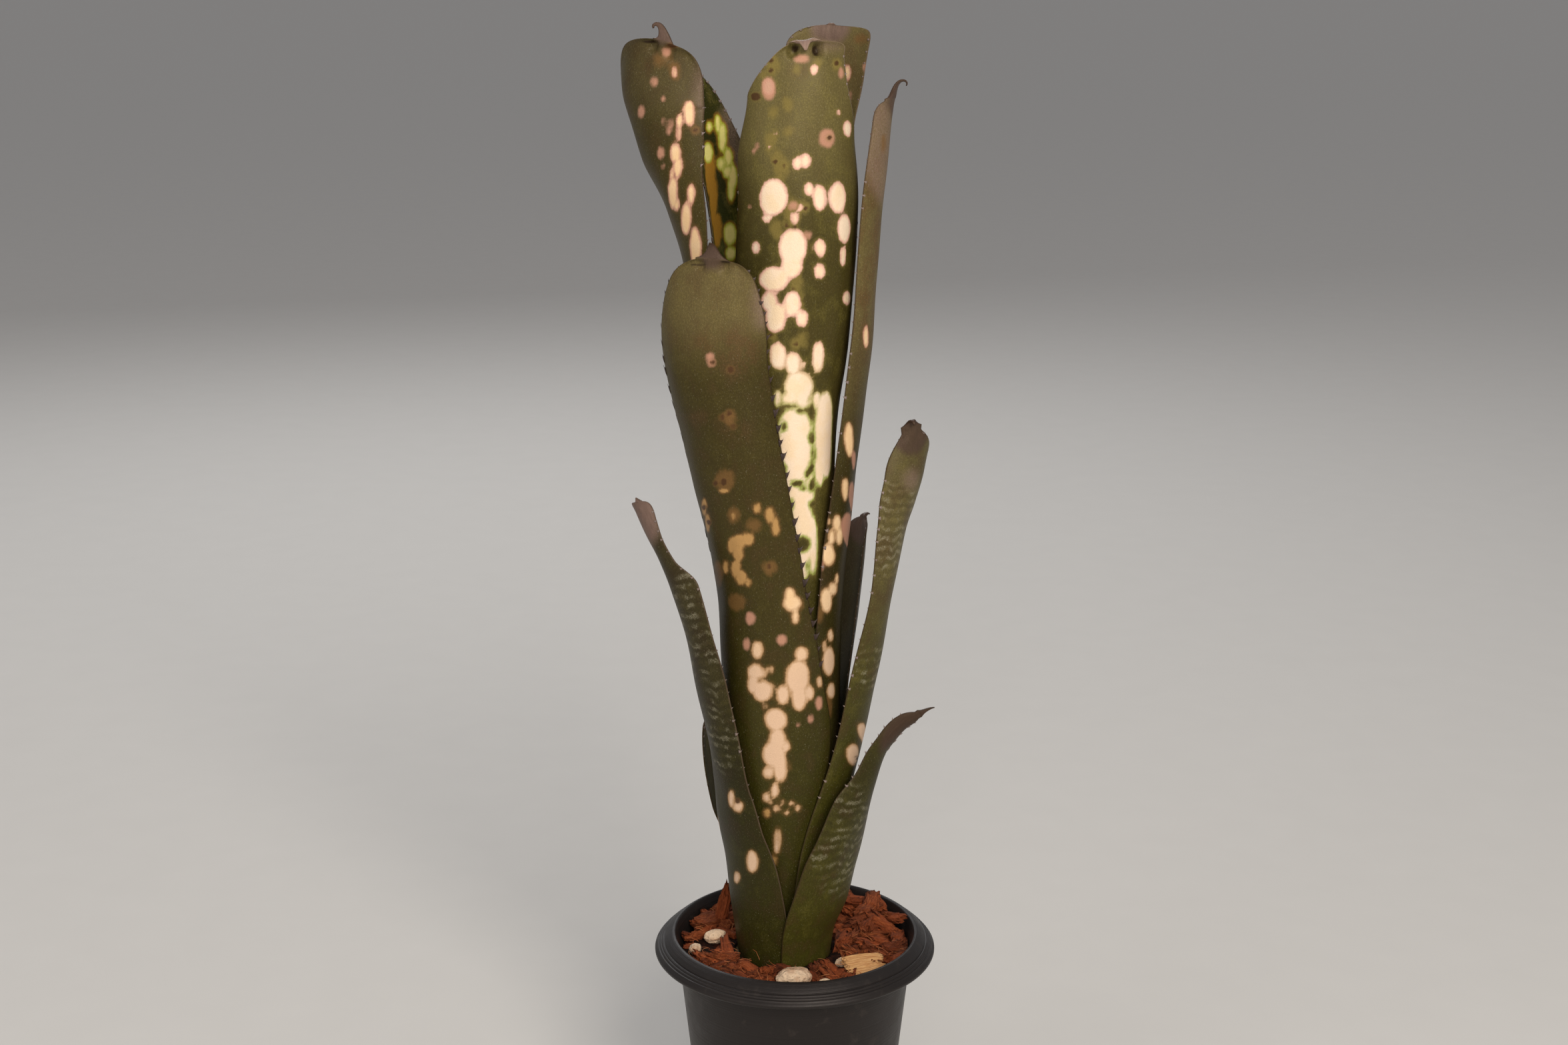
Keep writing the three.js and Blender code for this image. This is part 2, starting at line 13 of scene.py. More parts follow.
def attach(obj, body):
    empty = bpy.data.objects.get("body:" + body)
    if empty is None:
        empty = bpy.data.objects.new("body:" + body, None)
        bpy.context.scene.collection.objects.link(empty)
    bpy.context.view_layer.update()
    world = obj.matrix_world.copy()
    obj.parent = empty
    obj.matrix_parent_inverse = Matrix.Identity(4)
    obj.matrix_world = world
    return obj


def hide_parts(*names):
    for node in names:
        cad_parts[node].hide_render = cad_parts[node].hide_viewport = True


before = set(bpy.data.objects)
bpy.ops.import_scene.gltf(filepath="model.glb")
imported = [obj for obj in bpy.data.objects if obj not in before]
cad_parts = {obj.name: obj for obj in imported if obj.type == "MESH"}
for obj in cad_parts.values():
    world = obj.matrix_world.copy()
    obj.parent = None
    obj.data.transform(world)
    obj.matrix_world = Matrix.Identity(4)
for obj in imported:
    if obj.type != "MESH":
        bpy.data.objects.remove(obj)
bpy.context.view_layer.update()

bl_info = {
    "name": "Potted Bromeliad",
    "version": (1, 0, 0),
    "blender": (4, 5, 0),
    "location": "View3D > Sidebar > Bromeliad",
    "description": "Spotted tube bromeliad in a ribbed plastic pot with bark mix",
    "category": "Add Mesh",
}

MM = 0.001

# Sizes here and in the lists are in millimetres and angles in degrees, while the settings are
# in metres and radians, unless their description says otherwise
PLANT_X = -4.2
LEAF_FOOT = 78.3
LAYER_PITCH = 1.15
LEAF_SEED = 40
TUBE_CORE = [(78, 5), (84, 5.8), (100, 8), (117, 9.8), (142, 13), (165, 14.8), (200, 15.1)]
TUBE_LEVELS = (LEAF_FOOT, 89, 102, 117, 132, 150, 168, 200)
STRAIGHTEN = 25
HORN_ROWS = 18
HORN_FLARE = 1.8
MARK_REACH = 4.0
MARK_BLEND = 0.25

# Each leaf, from the innermost layer out. wrap is how far round the tube each half of its foot
# goes, at the foot and at the height nested, up to which it is part of the tube. tip and blunt
# are the length of the rounded end and how square it is, left and right. lip is the height of
# the rolled end and the depth of the hollows beside the horn. The horn has its lean at the root
# and at the point, to which side it leans, how late it curls and how far beside the midrib it
# stands. A blade station is height, x, y, facing, half width and channel radius. tone is painted
# light and shade: how much lighter or darker the skin is painted at the tip and further down, for
# the light that falls on each leaf. fade is where it turns from one to the other, and pale is how
# pale the horn and the margin are.
LEAVES = [
    {
        "name": "leaf_inner", "layer": 0, "azimuth": 165, "wrap": (85, 82), "nested": 200,
        "tip": (9.8, 9.7), "blunt": (5.9, 2), "lip": (0.4, 0.3), "finish": "olive",
        "tone": (1.25, 1.15), "fade": (70, 140), "pale": 0.5,
        "spines": {"size": 0.4, "lowest": 230, "darkness": 0},
        "horn": {"length": 1.5, "half": 1, "lean": (70, 150), "swing": 0, "curl": 1, "aside": 0},
        "blade": [
            (240, 3.4, 15.1, 165, 21.5, 15.3), (262, 3, 15.6, 165, 21.5, 15.8),
            (320, 7.8, 16.5, 165, 21.5, 17.8), (370, 9.8, 17.4, 165, 19.4, 20),
            (388, 15, 17.6, 165, 14.5, 21), (402.9, 16, 17.8, 165, 16.5, 22),
        ],
    },
    {
        "name": "leaf_centre", "layer": 1, "azimuth": 10, "wrap": (90, 84), "nested": 200,
        "tip": (14.5, 3.7), "blunt": (1.3, 4.6), "lip": (1.3, 2.6), "finish": "blotched",
        "tone": (1.0, 1.0), "fade": (16, 75), "pale": 1.0,
        "spines": {"size": 0.5, "lowest": 205, "darkness": 0},
        "horn": {"length": 6, "half": 3, "lean": (70, 188), "swing": 0, "curl": 0.8, "aside": 3.4},
        "blade": [
            (232, 3.2, -17.4, 10, 26, 17.6), (261, 2, -18.4, 10, 27.4, 18.6),
            (315, 6.5, -19.2, 10, 29, 19.9), (345, 8, -19.2, 10, 29, 20.1),
            (364, 6.4, -18.8, 8, 25.4, 20), (384, 4.8, -16.7, 0, 18.3, 21),
            (398.2, 3.6, -13.8, 0, 17.4, 22),
        ],
    },
    {
        "name": "leaf_back_left", "layer": 2, "azimuth": -130, "wrap": (80, 58), "nested": 200,
        "tip": (46, 46), "blunt": (2, 2), "lip": (0.4, 0.2), "finish": "mottled",
        "tone": (0.7, 1.4), "fade": (30, 90), "pale": 0.5,
        "spines": {"size": 0.9, "lowest": 215, "darkness": 0.3},
        "horn": {"length": 4, "half": 1.6, "lean": (10, 90), "swing": 0, "curl": 1.8, "aside": 0},
        "blade": [
            (260, -15.4, 13.2, -130, 16.6, 17), (320, -18.6, 14.4, -130, 15.6, 17),
            (346, -21, 15, -130, 15, 17), (371, -26.4, 15.4, -130, 13.4, 17.5),
            (388, -30, 15, -130, 13, 18),
        ],
    },
    {
        "name": "leaf_left", "layer": 3, "azimuth": -85, "wrap": (80, 66), "nested": 200,
        "tip": (22.5, 23.3), "blunt": (2, 3.6), "lip": (1.2, 1.4), "finish": "olive",
        "tone": (0.7, 0.95), "fade": (4, 40), "pale": 0.28,
        "spines": {"size": 0.6, "lowest": 215, "darkness": 0.1},
        "horn": {"length": 8.4, "half": 1.8, "lean": (26, 215), "swing": -85, "curl": 3.6, "aside": 0.8},
        "blade": [
            (240, -21.6, -1.7, -85, 18.5, 17.8), (280, -26, -1.6, -85, 15.8, 16.8),
            (326, -32.6, -1.6, -82, 15.6, 16), (343, -37, -3.6, -73, 17.9, 17),
            (361, -43, -5, -56, 21, 20), (378, -44.6, -6, -41, 20.8, 22),
            (398.8, -38.7, -9, -13, 16.5, 24),
        ],
    },
    {
        "name": "leaf_right", "layer": 4, "azimuth": 80, "wrap": (80, 46), "nested": 200,
        "tip": (7.9, 7.7), "blunt": (3.3, 1.8), "lip": (0.3, 0.2), "finish": "olive",
        "tone": (1.18, 0.66), "fade": (50, 150), "pale": 0.12,
        "spines": {"size": 0.6, "lowest": 215, "darkness": 0},
        "horn": {"length": 9.8, "half": 3.6, "lean": (4, 200), "swing": 0, "curl": 3.4, "aside": 0},
        "blade": [
            (222, 20.8, -3.6, 80, 15, 18), (271, 26, -3.2, 80, 12.6, 14),
            (305, 29.6, -3.2, 80, 11.8, 12.5), (343, 32, -3.2, 80, 11.5, 12),
            (380, 35.8, -3.2, 80, 9.8, 9),
        ],
    },
    {
        "name": "leaf_front", "layer": 5, "azimuth": -30, "wrap": (92, 82), "nested": 168,
        "tip": (15.2, 28.5), "blunt": (2.1, 4.4), "lip": (1.2, 0.9), "finish": "olive",
        "tone": (1.2, 0.88), "fade": (8, 50), "pale": 0.1,
        "spines": {"size": 1.6, "lowest": 190, "darkness": 1},
        "horn": {"length": 6.8, "half": 3, "lean": (10, 70), "swing": 0, "curl": 1.8, "aside": 1},
        "blade": [
            (185, -10.5, -18.2, -30, 26, 20.7), (208, -11, -19, -29, 22, 20.9),
            (222, -12.2, -20.2, -27, 20, 21), (240, -15.2, -21.8, -25, 20, 21),
            (254, -17.9, -23, -24, 20.2, 21), (267, -20.2, -24, -22, 20.6, 21),
            (302, -25.6, -25, -20, 21.2, 23), (330.9, -23.3, -23.5, -20, 15.2, 27),
        ],
    },
    {
        "name": "leaf_back_right", "layer": 6, "azimuth": 120, "wrap": (55, 42), "nested": 150,
        "tip": (12, 12), "blunt": (2, 2), "lip": (0.3, 0.2), "finish": "dark",
        "tone": (0.75, 0.75), "fade": (20, 80), "pale": 0.4,
        "spines": {"size": 0.5, "lowest": 170, "darkness": 0},
        "horn": {"length": 3, "half": 1.2, "lean": (40, 120), "swing": 0, "curl": 1.8, "aside": 0},
        "blade": [
            (176, 19.8, 11.4, 120, 13, 18), (206, 24.8, 13.6, 118, 11, 13),
            (236, 28, 15, 115, 9, 11),
        ],
    },
    {
        "name": "leaf_right_middle", "layer": 7, "azimuth": 75, "wrap": (72, 58), "nested": 117,
        "tip": (11.9, 11.9), "blunt": (2.2, 2.6), "lip": (0.25, 0.3), "finish": "banded",
        "tone": (0.92, 0.9), "fade": (30, 110), "pale": 0.05,
        "spines": {"size": 0.55, "lowest": 140, "darkness": 0},
        "horn": {"length": 4.8, "half": 2, "lean": (20, 170), "swing": 0, "curl": 1.8, "aside": 0},
        "blade": [
            (157, 26.6, -4.5, 75, 15.4, 16.5), (196, 33.9, -6, 75, 13.4, 14),
            (217, 37.4, -6.6, 72, 11.6, 13.5), (236, 40.5, -7, 68, 12.5, 13),
            (246, 42.8, -7.6, 60, 13.2, 14), (257, 44.4, -8, 50, 12, 15),
            (273.1, 42.9, -8.6, 15, 4.3, 16),
        ],
    },
    {
        "name": "leaf_back_low", "layer": 8, "azimuth": -136, "wrap": (50, 24), "nested": 102,
        "tip": (18, 18), "blunt": (2, 2), "lip": (0.3, 0.2), "finish": "banded",
        "tone": (1.3, 1.3), "fade": (20, 60), "pale": 0.3,
        "spines": {"size": 0.6, "lowest": 125, "darkness": 0},
        "horn": {"length": 3, "half": 1.4, "lean": (10, 60), "swing": 0, "curl": 1.8, "aside": 0},
        "blade": [
            (117, -15, 14.2, -134, 8, 20), (132, -21.4, 14.6, -127, 9.2, 20),
            (150, -25.6, 14.5, -122, 9, 15), (164, -26.5, 14.5, -120, 8, 12),
        ],
    },
    {
        "name": "leaf_left_middle", "layer": 9, "azimuth": -53, "wrap": (68, 48), "nested": 117,
        "tip": (3, 6), "blunt": (4, 3), "lip": (0.3, 0), "finish": "banded",
        "tone": (0.37, 0.58), "fade": (90, 150), "pale": 0.5,
        "spines": {"size": 0.5, "lowest": 135, "darkness": 0.2},
        "horn": {"length": 1.6, "half": 0.9, "lean": (10, 20), "swing": -60, "curl": 1.8, "aside": 0},
        "blade": [
            (132, -19.2, -12.4, -57, 15.6, 22.4), (146, -21.4, -11, -62, 14.4, 22),
            (159, -23.5, -11, -65, 13.8, 19), (183, -28.8, -11.2, -66, 13.8, 15),
            (202, -32.8, -11.6, -68, 12.6, 13), (218, -37.2, -12, -66, 12, 11),
            (227, -40.6, -12, -60, 6, 8), (236, -44.2, -12, -45, 4, 7),
            (248, -48.4, -12, -30, 4.4, 6),
        ],
    },
    {
        "name": "leaf_right_low", "layer": 10, "azimuth": 62, "wrap": (64, 63), "nested": 89,
        "tip": (3, 3), "blunt": (1.6, 1.6), "lip": (0.1, 0), "finish": "banded",
        "tone": (0.55, 1.0), "fade": (20, 80), "pale": 0.0,
        "spines": {"size": 1, "lowest": 146, "darkness": 0.3},
        "horn": {"length": 5.5, "half": 0.8, "lean": (0, 28), "swing": 90, "curl": 1.8, "aside": 0},
        "blade": [
            (102, 20.6, -10, 62, 22.6, 20.8), (117, 23.8, -11.4, 62, 21.6, 22),
            (131, 27, -12, 64, 18.6, 20), (142, 29.4, -12, 64, 15.4, 16),
            (151, 31.6, -12, 58, 9, 11), (158, 33.4, -12, 44, 5.8, 9),
            (163, 36, -12, 28, 4.2, 8), (168.5, 40, -12, 15, 3.5, 7),
            (173.2, 47, -12, 5, 2.7, 6),
        ],
    },
]

# A mark is kind, height, way from the midrib, half height, half width and slant
MARKS = {
    "leaf_inner": [
        ("cream", 388.5, -7.3, 2.2, 1.6, 0.1), ("blush", 390.5, -14.6, 1.2, 1, 0.1),
        ("blush", 383, -10.6, 0.8, 0.9, 0.4), ("tan", 399, -11.8, 1.3, 2.4, -0.1),
        ("haze", 400.5, 0.5, 3.1, 4.9, -0.1), ("tip", 402, 0, 5, 7, 0),
    ],
    "leaf_centre": [
        ("hollow", 396.5, 0.2, 1.2, 1.4, 0), ("hollow", 395.5, 7, 1.8, 1.6, 0.1),
        ("flush", 394.5, 2.6, 0.6, 1.7, -0.4), ("blush", 393, 1.8, 1.2, 2.5, -0.2),
        ("haze", 397, 12.1, 0.8, 3, 0.4), ("cream", 389.5, 5.6, 1.6, 1.1, 0.1),
        ("tan", 391.5, 6.7, 1.2, 1.3, 0.1), ("tan", 390, 0, 1.4, 0.6, 0.1),
        ("flush", 390, 1.5, 2, 2.5, 0), ("blush", 388.5, 15.5, 1.7, 1.2, 0.1),
        ("tan", 391, 14, 1.7, 1.9, 0.2), ("rust", 391.5, 13.8, 0.6, 0.8, 0.2),
        ("cream", 385.5, -9.5, 2.7, 1.9, 0), ("blush", 385, -9.5, 3.6, 2.4, 0),
        ("rust", 383, -14.5, 1.1, 1.9, -0.3), ("tan", 392, -7.5, 2.9, 2, 0),
        ("rust", 393.5, -7.9, 0.6, 0.7, -0.1), ("rust", 390.5, -8.2, 0.6, 0.7, -0.1),
        ("tan", 389.5, -10.8, 1, 1.2, -0.1), ("tan", 379.5, -3.6, 1.9, 1.3, 0),
        ("tan", 377.5, -8.5, 1.5, 1.6, 0), ("cream", 376, 13.2, 0.8, 0.8, 0),
        ("tan", 371, -4, 1.2, 1.3, 0), ("cream", 371, -8.3, 0.6, 0.6, 0),
        ("tan", 369.5, -9.7, 1.5, 1.8, 0), ("tan", 367, -10.7, 1.9, 1.2, 0.1),
        ("cream", 366.5, -10.5, 0.5, 0.6, 0), ("blush", 367.5, -14.9, 0.6, 0.8, 0),
        ("blush", 365.5, -16.5, 0.6, 0.8, 0), ("tan", 363.5, -8.3, 1.8, 1.6, 0),
        ("tan", 360.5, -7, 2.4, 2.4, 0), ("rust", 360.5, -6.6, 0.6, 0.6, 0),
        ("rust", 362, -9.1, 0.6, 0.7, 0), ("tan", 357.5, -7.8, 1.1, 1.5, -0.1),
        ("blush", 368, 8.5, 3, 2.8, 0), ("rust", 368, 9.3, 0.6, 0.8, 0),
        ("cream", 361, -2, 2.1, 1.7, 0), ("cream", 361.5, 0.7, 2.3, 1.7, 0),
        ("cream", 370.5, 17.5, 2.7, 2.3, -0.1), ("cream", 350.5, -11, 6.6, 4.9, 0.1),
        ("cream", 343, -13.4, 1.6, 1.7, 0.1), ("blush", 347, -20.6, 0.8, 0.8, 0.1),
        ("cream", 352.5, 0.7, 2.1, 1.5, 0), ("cream", 349.5, 4, 4.1, 2.3, 0),
        ("cream", 349, 11, 4.6, 3.8, 0), ("blush", 347.5, -4.7, 1.6, 1.5, 0),
        ("cream", 343.5, -4.3, 2.2, 1.3, 0), ("tan", 345.5, -5, 4.5, 2.1, 0),
        ("cream", 347, -2.2, 1.1, 0.9, 0), ("tan", 347, -1.8, 2, 1.9, 0),
        ("rust", 346.5, -0.7, 0.6, 0.6, 0), ("rust", 341, -6.5, 0.7, 0.6, 0),
        ("rust", 340.5, -4.3, 0.7, 0.6, 0), ("tan", 339.5, -10, 3.1, 2, 0),
        ("blush", 338, 0, 1.3, 1.3, 0), ("cream", 332.5, -17.4, 2, 1.7, 0),
        ("cream", 334, -4.5, 6.1, 4.5, 0), ("cream", 328, -4.5, 4.3, 3.4, 0),
        ("cream", 323, -10, 4.1, 5, 0.1), ("cream", 334, 4.4, 3, 1.9, -0.1),
        ("cream", 326.5, 4.7, 2.6, 1.9, -0.1), ("cream", 339.5, 14, 4.5, 3.5, -0.1),
        ("cream", 331, 13.8, 3.2, 1.7, -0.1), ("cream", 317, 18, 2.3, 2.8, -0.3),
        ("tan", 322, -2.5, 3, 1.7, 0), ("tan", 317.5, -1.4, 2.6, 0.9, -0.1),
        ("rust", 320.5, -3.3, 0.6, 0.6, 0), ("cream", 315.5, -11, 3.3, 2.8, 0),
        ("cream", 310.5, -8.5, 5.1, 3.4, 0), ("cream", 315.5, -3.5, 4.3, 2.8, 0),
        ("cream", 311, 0, 3, 2, -0.1), ("tan", 314, -1.4, 1.3, 1.3, 0), ("tan", 303.5, -9, 1.8, 1.1, 0),
        ("rust", 304.5, -9.4, 0.7, 0.7, 0.1), ("tan", 302.5, -1.4, 2, 1.5, -0.1),
        ("tan", 304, 1.1, 2.6, 1.1, -0.1), ("rust", 302.5, -1.4, 0.8, 0.7, 0),
        ("cream", 298.5, 7, 5.3, 2.3, -0.1), ("cream", 298, -6.5, 4.6, 2.7, -0.1),
        ("cream", 296, -1.5, 3.9, 2.6, -0.1), ("cream", 296, 2.2, 0.8, 0.6, -0.1),
        ("cream", 288.5, 1.5, 5.3, 5, -0.1), ("cream", 284.5, -1.5, 2.2, 2.4, 0),
        ("cream", 283.5, 3, 2.5, 2.8, -0.1), ("cream", 284, -5, 2.8, 1.3, -0.1),
        ("cream", 270.5, 2, 11.8, 6.3, -0.1), ("cream", 253.5, 3.5, 11.6, 5.7, 0),
        ("cream", 238.5, 4, 12.5, 4.2, 0), ("cream", 227, 3.5, 5.2, 2.9, 0),
        ("cream", 271, 13.5, 15.9, 5.1, -0.1), ("cream", 284, 8.5, 3.2, 1.9, -0.1),
        ("cream", 262.5, 11.5, 9.9, 2.6, 0), ("cream", 233, 7.8, 10.2, 1.7, 0),
        ("vein", 281.5, -2.1, 0.7, 3.1, 1.7), ("vein", 280.5, 2.8, 0.7, 1.4, 0),
        ("vein", 279.5, 7.4, 2.1, 0.7, -0.1), ("vein", 275, -2.4, 1.5, 0.8, -0.1),
        ("vein", 271, 7.6, 2.1, 1.1, -0.1), ("vein", 260, 7.9, 1.5, 1.1, -0.1),
        ("vein", 258.5, 6.5, 1.4, 0.8, 0), ("vein", 255.5, 2.7, 1, 2, -0.6),
        ("vein", 253.5, 4.7, 0.7, 1, -0.3), ("vein", 254, 7.8, 1.9, 0.7, 0),
        ("vein", 265.5, 8.6, 2.2, 0.8, -0.1), ("vein", 248.5, 0, 1.8, 0.9, 0),
        ("vein", 247, 8, 1.4, 1.3, -0.1), ("vein", 234.5, 3.5, 2.5, 2.6, -0.1),
        ("vein", 226.5, 5.4, 1.6, 0.6, 0),
    ],
    "leaf_back_left": [
        ("cream", 369.5, -1.9, 1.7, 1.5, -0.2), ("cream", 369.5, -5.6, 3.2, 1.3, -0.2),
        ("cream", 365, -6.1, 4.6, 1.8, -0.3), ("cream", 358.5, -6.6, 2.9, 1.8, -0.2),
        ("cream", 357, -3, 2.1, 2, -0.1), ("cream", 354, -5, 2.1, 2.1, -0.1),
        ("cream", 361.5, 2, 3.3, 2.8, -0.3), ("tan", 354.5, 4.5, 6.2, 3.5, -0.5),
        ("tan", 346, 5.5, 8.6, 2.9, -0.3), ("tan", 336, 5, 5.4, 3.3, -0.2),
        ("cream", 348.5, -5.2, 4.1, 1.6, -0.2), ("cream", 334, -2.3, 3.8, 3, 0),
        ("cream", 327.5, -2, 2.4, 2.6, 0), ("cream", 352.5, -7, 3.6, 1.6, -0.1),
        ("haze", 369, -9.3, 4.5, 2.4, -0.2), ("haze", 363, -9.8, 5.5, 2.4, -0.2),
        ("haze", 357, -9.6, 5, 2, -0.3), ("tip", 388, 0, 7, 4, 0),
    ],
    "leaf_left": [
        ("hollow", 397, -3.7, 1.1, 1.3, 2.1), ("rust", 398.5, 3.9, 0.6, 1.1, 0.8),
        ("cream", 391.5, 7.4, 1.5, 0.9, -0.3), ("tan", 392, 7.2, 2.2, 1.6, -0.3),
        ("tan", 395.5, 3.2, 1.6, 1.3, -0.2), ("tan", 393, 1.2, 1.7, 1.6, -0.1),
        ("blush", 396, 2.6, 1.1, 1.1, -0.1), ("cream", 377.5, 15.9, 6.6, 1.9, -0.1),
        ("cream", 373.5, 13.1, 2.4, 1.1, 0), ("cream", 369, 12.8, 2.7, 0.9, 0),
        ("tan", 369.5, 18.3, 1.4, 1.1, -0.1), ("rust", 369.5, 18.3, 0.7, 0.6, -0.1),
        ("blush", 372.5, 10.2, 1.4, 0.7, 0), ("blush", 370, 9.4, 1.3, 0.7, 0),
        ("blush", 363, 6, 1.9, 1.4, 0.1), ("blush", 358.5, 6.5, 0.9, 0.6, 0.2),
        ("cream", 362.5, 11.5, 3.4, 1.9, 0), ("cream", 357.5, 12.2, 3.9, 1.7, 0.1),
        ("cream", 349.5, 7.5, 4.8, 2.3, 0.5), ("cream", 355, 9.4, 2.2, 0.8, 0.3),
        ("cream", 346, 7.6, 1.9, 1.4, 0.5), ("cream", 348, 14.6, 2.6, 1.5, 0.3),
        ("cream", 341.5, 10, 4.6, 2.4, 0.4), ("cream", 332.5, 11.5, 6.8, 2.6, 0.2),
        ("blush", 386.5, 2.2, 1.4, 1.2, -0.1), ("blush", 376, -1.3, 1.9, 1.7, 0.2),
        ("blush", 382, 6.9, 1.1, 0.5, -0.1), ("blush", 373, 7.6, 1.1, 0.5, 0),
        ("flush", 390, -1.5, 3.1, 3.1, 0), ("haze", 387.5, 17.3, 10.7, 1, -0.3),
        ("tip", 404, 0, 6, 6, 0),
    ],
    "leaf_right": [
        ("haze", 366, -6.5, 19.3, 8, -0.3), ("flush", 326.5, -7, 38.4, 11.7, -0.3),
        ("cream", 303, -5.8, 3.9, 1.6, -0.2), ("cream", 268.5, -8.5, 6, 2.3, -0.2),
        ("blush", 261, -4.5, 3.3, 1.5, -0.3), ("cream", 251.5, -8.1, 4, 1.8, -0.2),
        ("blush", 248, -1.5, 5.6, 3.3, -0.5), ("cream", 240, -10, 3, 2, -0.2),
        ("cream", 235.5, -8.1, 3.3, 1.9, -0.2), ("blush", 236.5, -2, 6.4, 4.9, -0.5),
        ("cream", 229.5, -12.5, 3.9, 3, -0.2), ("cream", 235.5, -11.8, 2.7, 1.5, -0.1),
        ("cream", 241, -13.7, 1.1, 0.8, -0.1), ("cream", 214, -12, 4.4, 2.8, -0.2),
        ("cream", 217.5, -9, 2.4, 2.6, -0.4), ("cream", 220.5, -7.3, 1.9, 1.3, -0.2),
        ("tan", 209.5, -14.8, 2.3, 1.4, -0.1), ("cream", 201, -8.9, 2.4, 1.6, -0.2),
        ("blush", 226, -14.8, 1.4, 0.8, -0.1), ("flush", 226, -14.8, 6.8, 1.2, -0.1),
        ("flush", 359, -6.4, 6.4, 1.7, -0.2), ("tan", 366, -5, 2.5, 1.1, -0.2),
        ("cream", 198, -12.1, 1.9, 1, -0.1), ("tan", 176.5, -9.2, 4.9, 1.6, -0.1),
        ("cream", 192, -9.5, 5.3, 3.4, -0.1), ("cream", 181, -8, 3, 2.5, -0.2),
        ("tip", 386, 0, 12, 7, 0),
    ],
    "leaf_front": [
        ("blush", 299.5, 2.1, 1.3, 1.3, 0.1), ("blush", 297.5, 2.6, 1.4, 1.3, 0.1),
        ("rust", 297.5, 2.9, 0.7, 0.7, 0.1), ("rust", 294.5, 8.5, 1, 0.9, 0),
        ("rust", 279, 3.1, 0.7, 0.7, 0.1), ("rust", 280, 5.7, 0.7, 0.7, 0),
        ("rust", 275.5, 6, 0.6, 0.7, 0), ("tan", 278.5, 5.5, 2, 1.8, 0.1),
        ("flush", 272.5, 9.3, 1.7, 1.9, -0.1), ("flush", 275.5, 6, 1.9, 2.2, 0),
        ("flush", 280, -6, 2.2, 2.9, 0.3), ("flush", 300.5, 10.5, 8.9, 8.7, 0),
        ("flush", 304.5, 5.5, 3.4, 8.7, 0.3), ("haze", 318, 18, 7.5, 2.2, -0.1),
        ("hollow", 328.5, -4, 0.5, 2.3, 3.3), ("hollow", 330.5, 5.6, 0.5, 1.7, 0.8),
        ("tan", 258, -0.5, 3.4, 3.5, 0.2), ("rust", 257.5, -0.8, 1.1, 1, 0.2),
        ("amber", 254.5, -1.5, 0.7, 1.8, 0.2), ("rust", 257, -4.3, 0.7, 0.8, 0.3),
        ("amber", 247.5, -13.5, 3.5, 2, 0.6), ("amber", 242, -13.3, 3.9, 2, 0.5),
        ("rust", 247.5, -13.5, 0.9, 1.4, 1.2), ("rust", 242.5, -12, 0.8, 1.3, 1),
        ("tan", 246, 0.3, 2.5, 2, 0.2), ("amber", 246, 0.3, 1.4, 0.7, 0.2),
        ("amber", 247.5, 8.5, 1.8, 1.3, 0.1), ("amber", 244.5, 12.3, 2.6, 1.6, 0.1),
        ("amber", 240, 13.3, 3.1, 1.4, 0.1), ("amber", 237.5, 3.7, 2.3, 1.9, 0.1),
        ("amber", 237, 0.5, 2.3, 3, 0.2), ("amber", 235.5, -2.7, 2.9, 1.9, 0.3),
        ("amber", 232.5, -1, 2.9, 2.1, 0.2), ("amber", 227, -3, 3.4, 1.9, 0.2),
        ("amber", 224, -1.5, 2.7, 2.4, 0.2), ("amber", 222.5, 1, 1.4, 1.2, 0.2),
        ("amber", 227, -7.7, 2.6, 1.4, 0.3), ("tan", 222.5, -14.5, 5.6, 3.6, 0.5),
        ("tan", 227, 9, 2, 2, 0), ("rust", 227.5, 8.8, 0.7, 0.7, 0), ("tan", 214.5, -5, 3.1, 3.6, 0.4),
        ("cream", 216.5, 14.5, 3.3, 2, 0), ("cream", 214.5, 15, 2.8, 3.2, -0.1),
        ("cream", 210, 15.7, 2.3, 1.4, 0), ("tan", 213.5, 17.3, 1.7, 1.2, 0),
        ("blush", 209.5, 0.3, 2.4, 1.8, 0.1), ("tan", 242, 6.3, 1.8, 2.2, 0),
        ("cream", 198.5, 2.5, 3.3, 2.2, 0.1), ("blush", 200, -1.7, 2.2, 1.4, 0.1),
        ("blush", 202.5, 10.9, 1.9, 1.6, 0), ("cream", 192, 7.1, 1.2, 0.9, 0),
        ("cream", 190.5, 1.5, 3.1, 3, 0.2), ("cream", 190.5, 4.4, 1.9, 1.2, 0.1),
        ("cream", 184, 4, 3.9, 3.6, 0.1), ("cream", 186, 0.5, 3.4, 2.1, 0.1),
        ("cream", 186, 7.1, 1.2, 0.9, 0), ("cream", 178.5, 4.8, 1, 0.7, 0.1),
        ("cream", 197, 17.5, 2.6, 2.4, -0.1), ("cream", 189, 16, 6.1, 4.2, 0),
        ("cream", 182, 16.5, 5, 2.8, 0), ("cream", 183, 11, 3.6, 2.3, 0),
        ("cream", 183, 20, 2.8, 2, -0.1), ("blush", 178.5, 23.8, 2.4, 1.4, -0.1),
        ("blush", 173.5, 20.5, 1.4, 1, -0.1), ("blush", 172, 16, 0.6, 0.5, 0),
        ("cream", 186, 24.2, 1.9, 1.1, -0.1), ("cream", 174, 8.5, 4.3, 3.9, 0),
        ("cream", 166.5, 9, 4.4, 3, 0), ("cream", 164.5, 11.8, 2.2, 1.4, 0),
        ("cream", 161.5, 7.5, 4.9, 3.9, 0.1), ("cream", 157, 9.5, 5.9, 2.5, 0),
        ("cream", 154.5, 5.4, 2.5, 1.9, 0.1), ("cream", 148, 7.5, 3, 1.4, 0.1),
        ("cream", 145, 4.2, 2, 1.2, 0.1), ("cream", 141, 7.6, 1.3, 1.2, 0.1),
        ("cream", 143.5, 9.8, 0.8, 0.7, 0.1), ("cream", 143, 12.9, 0.9, 0.9, 0),
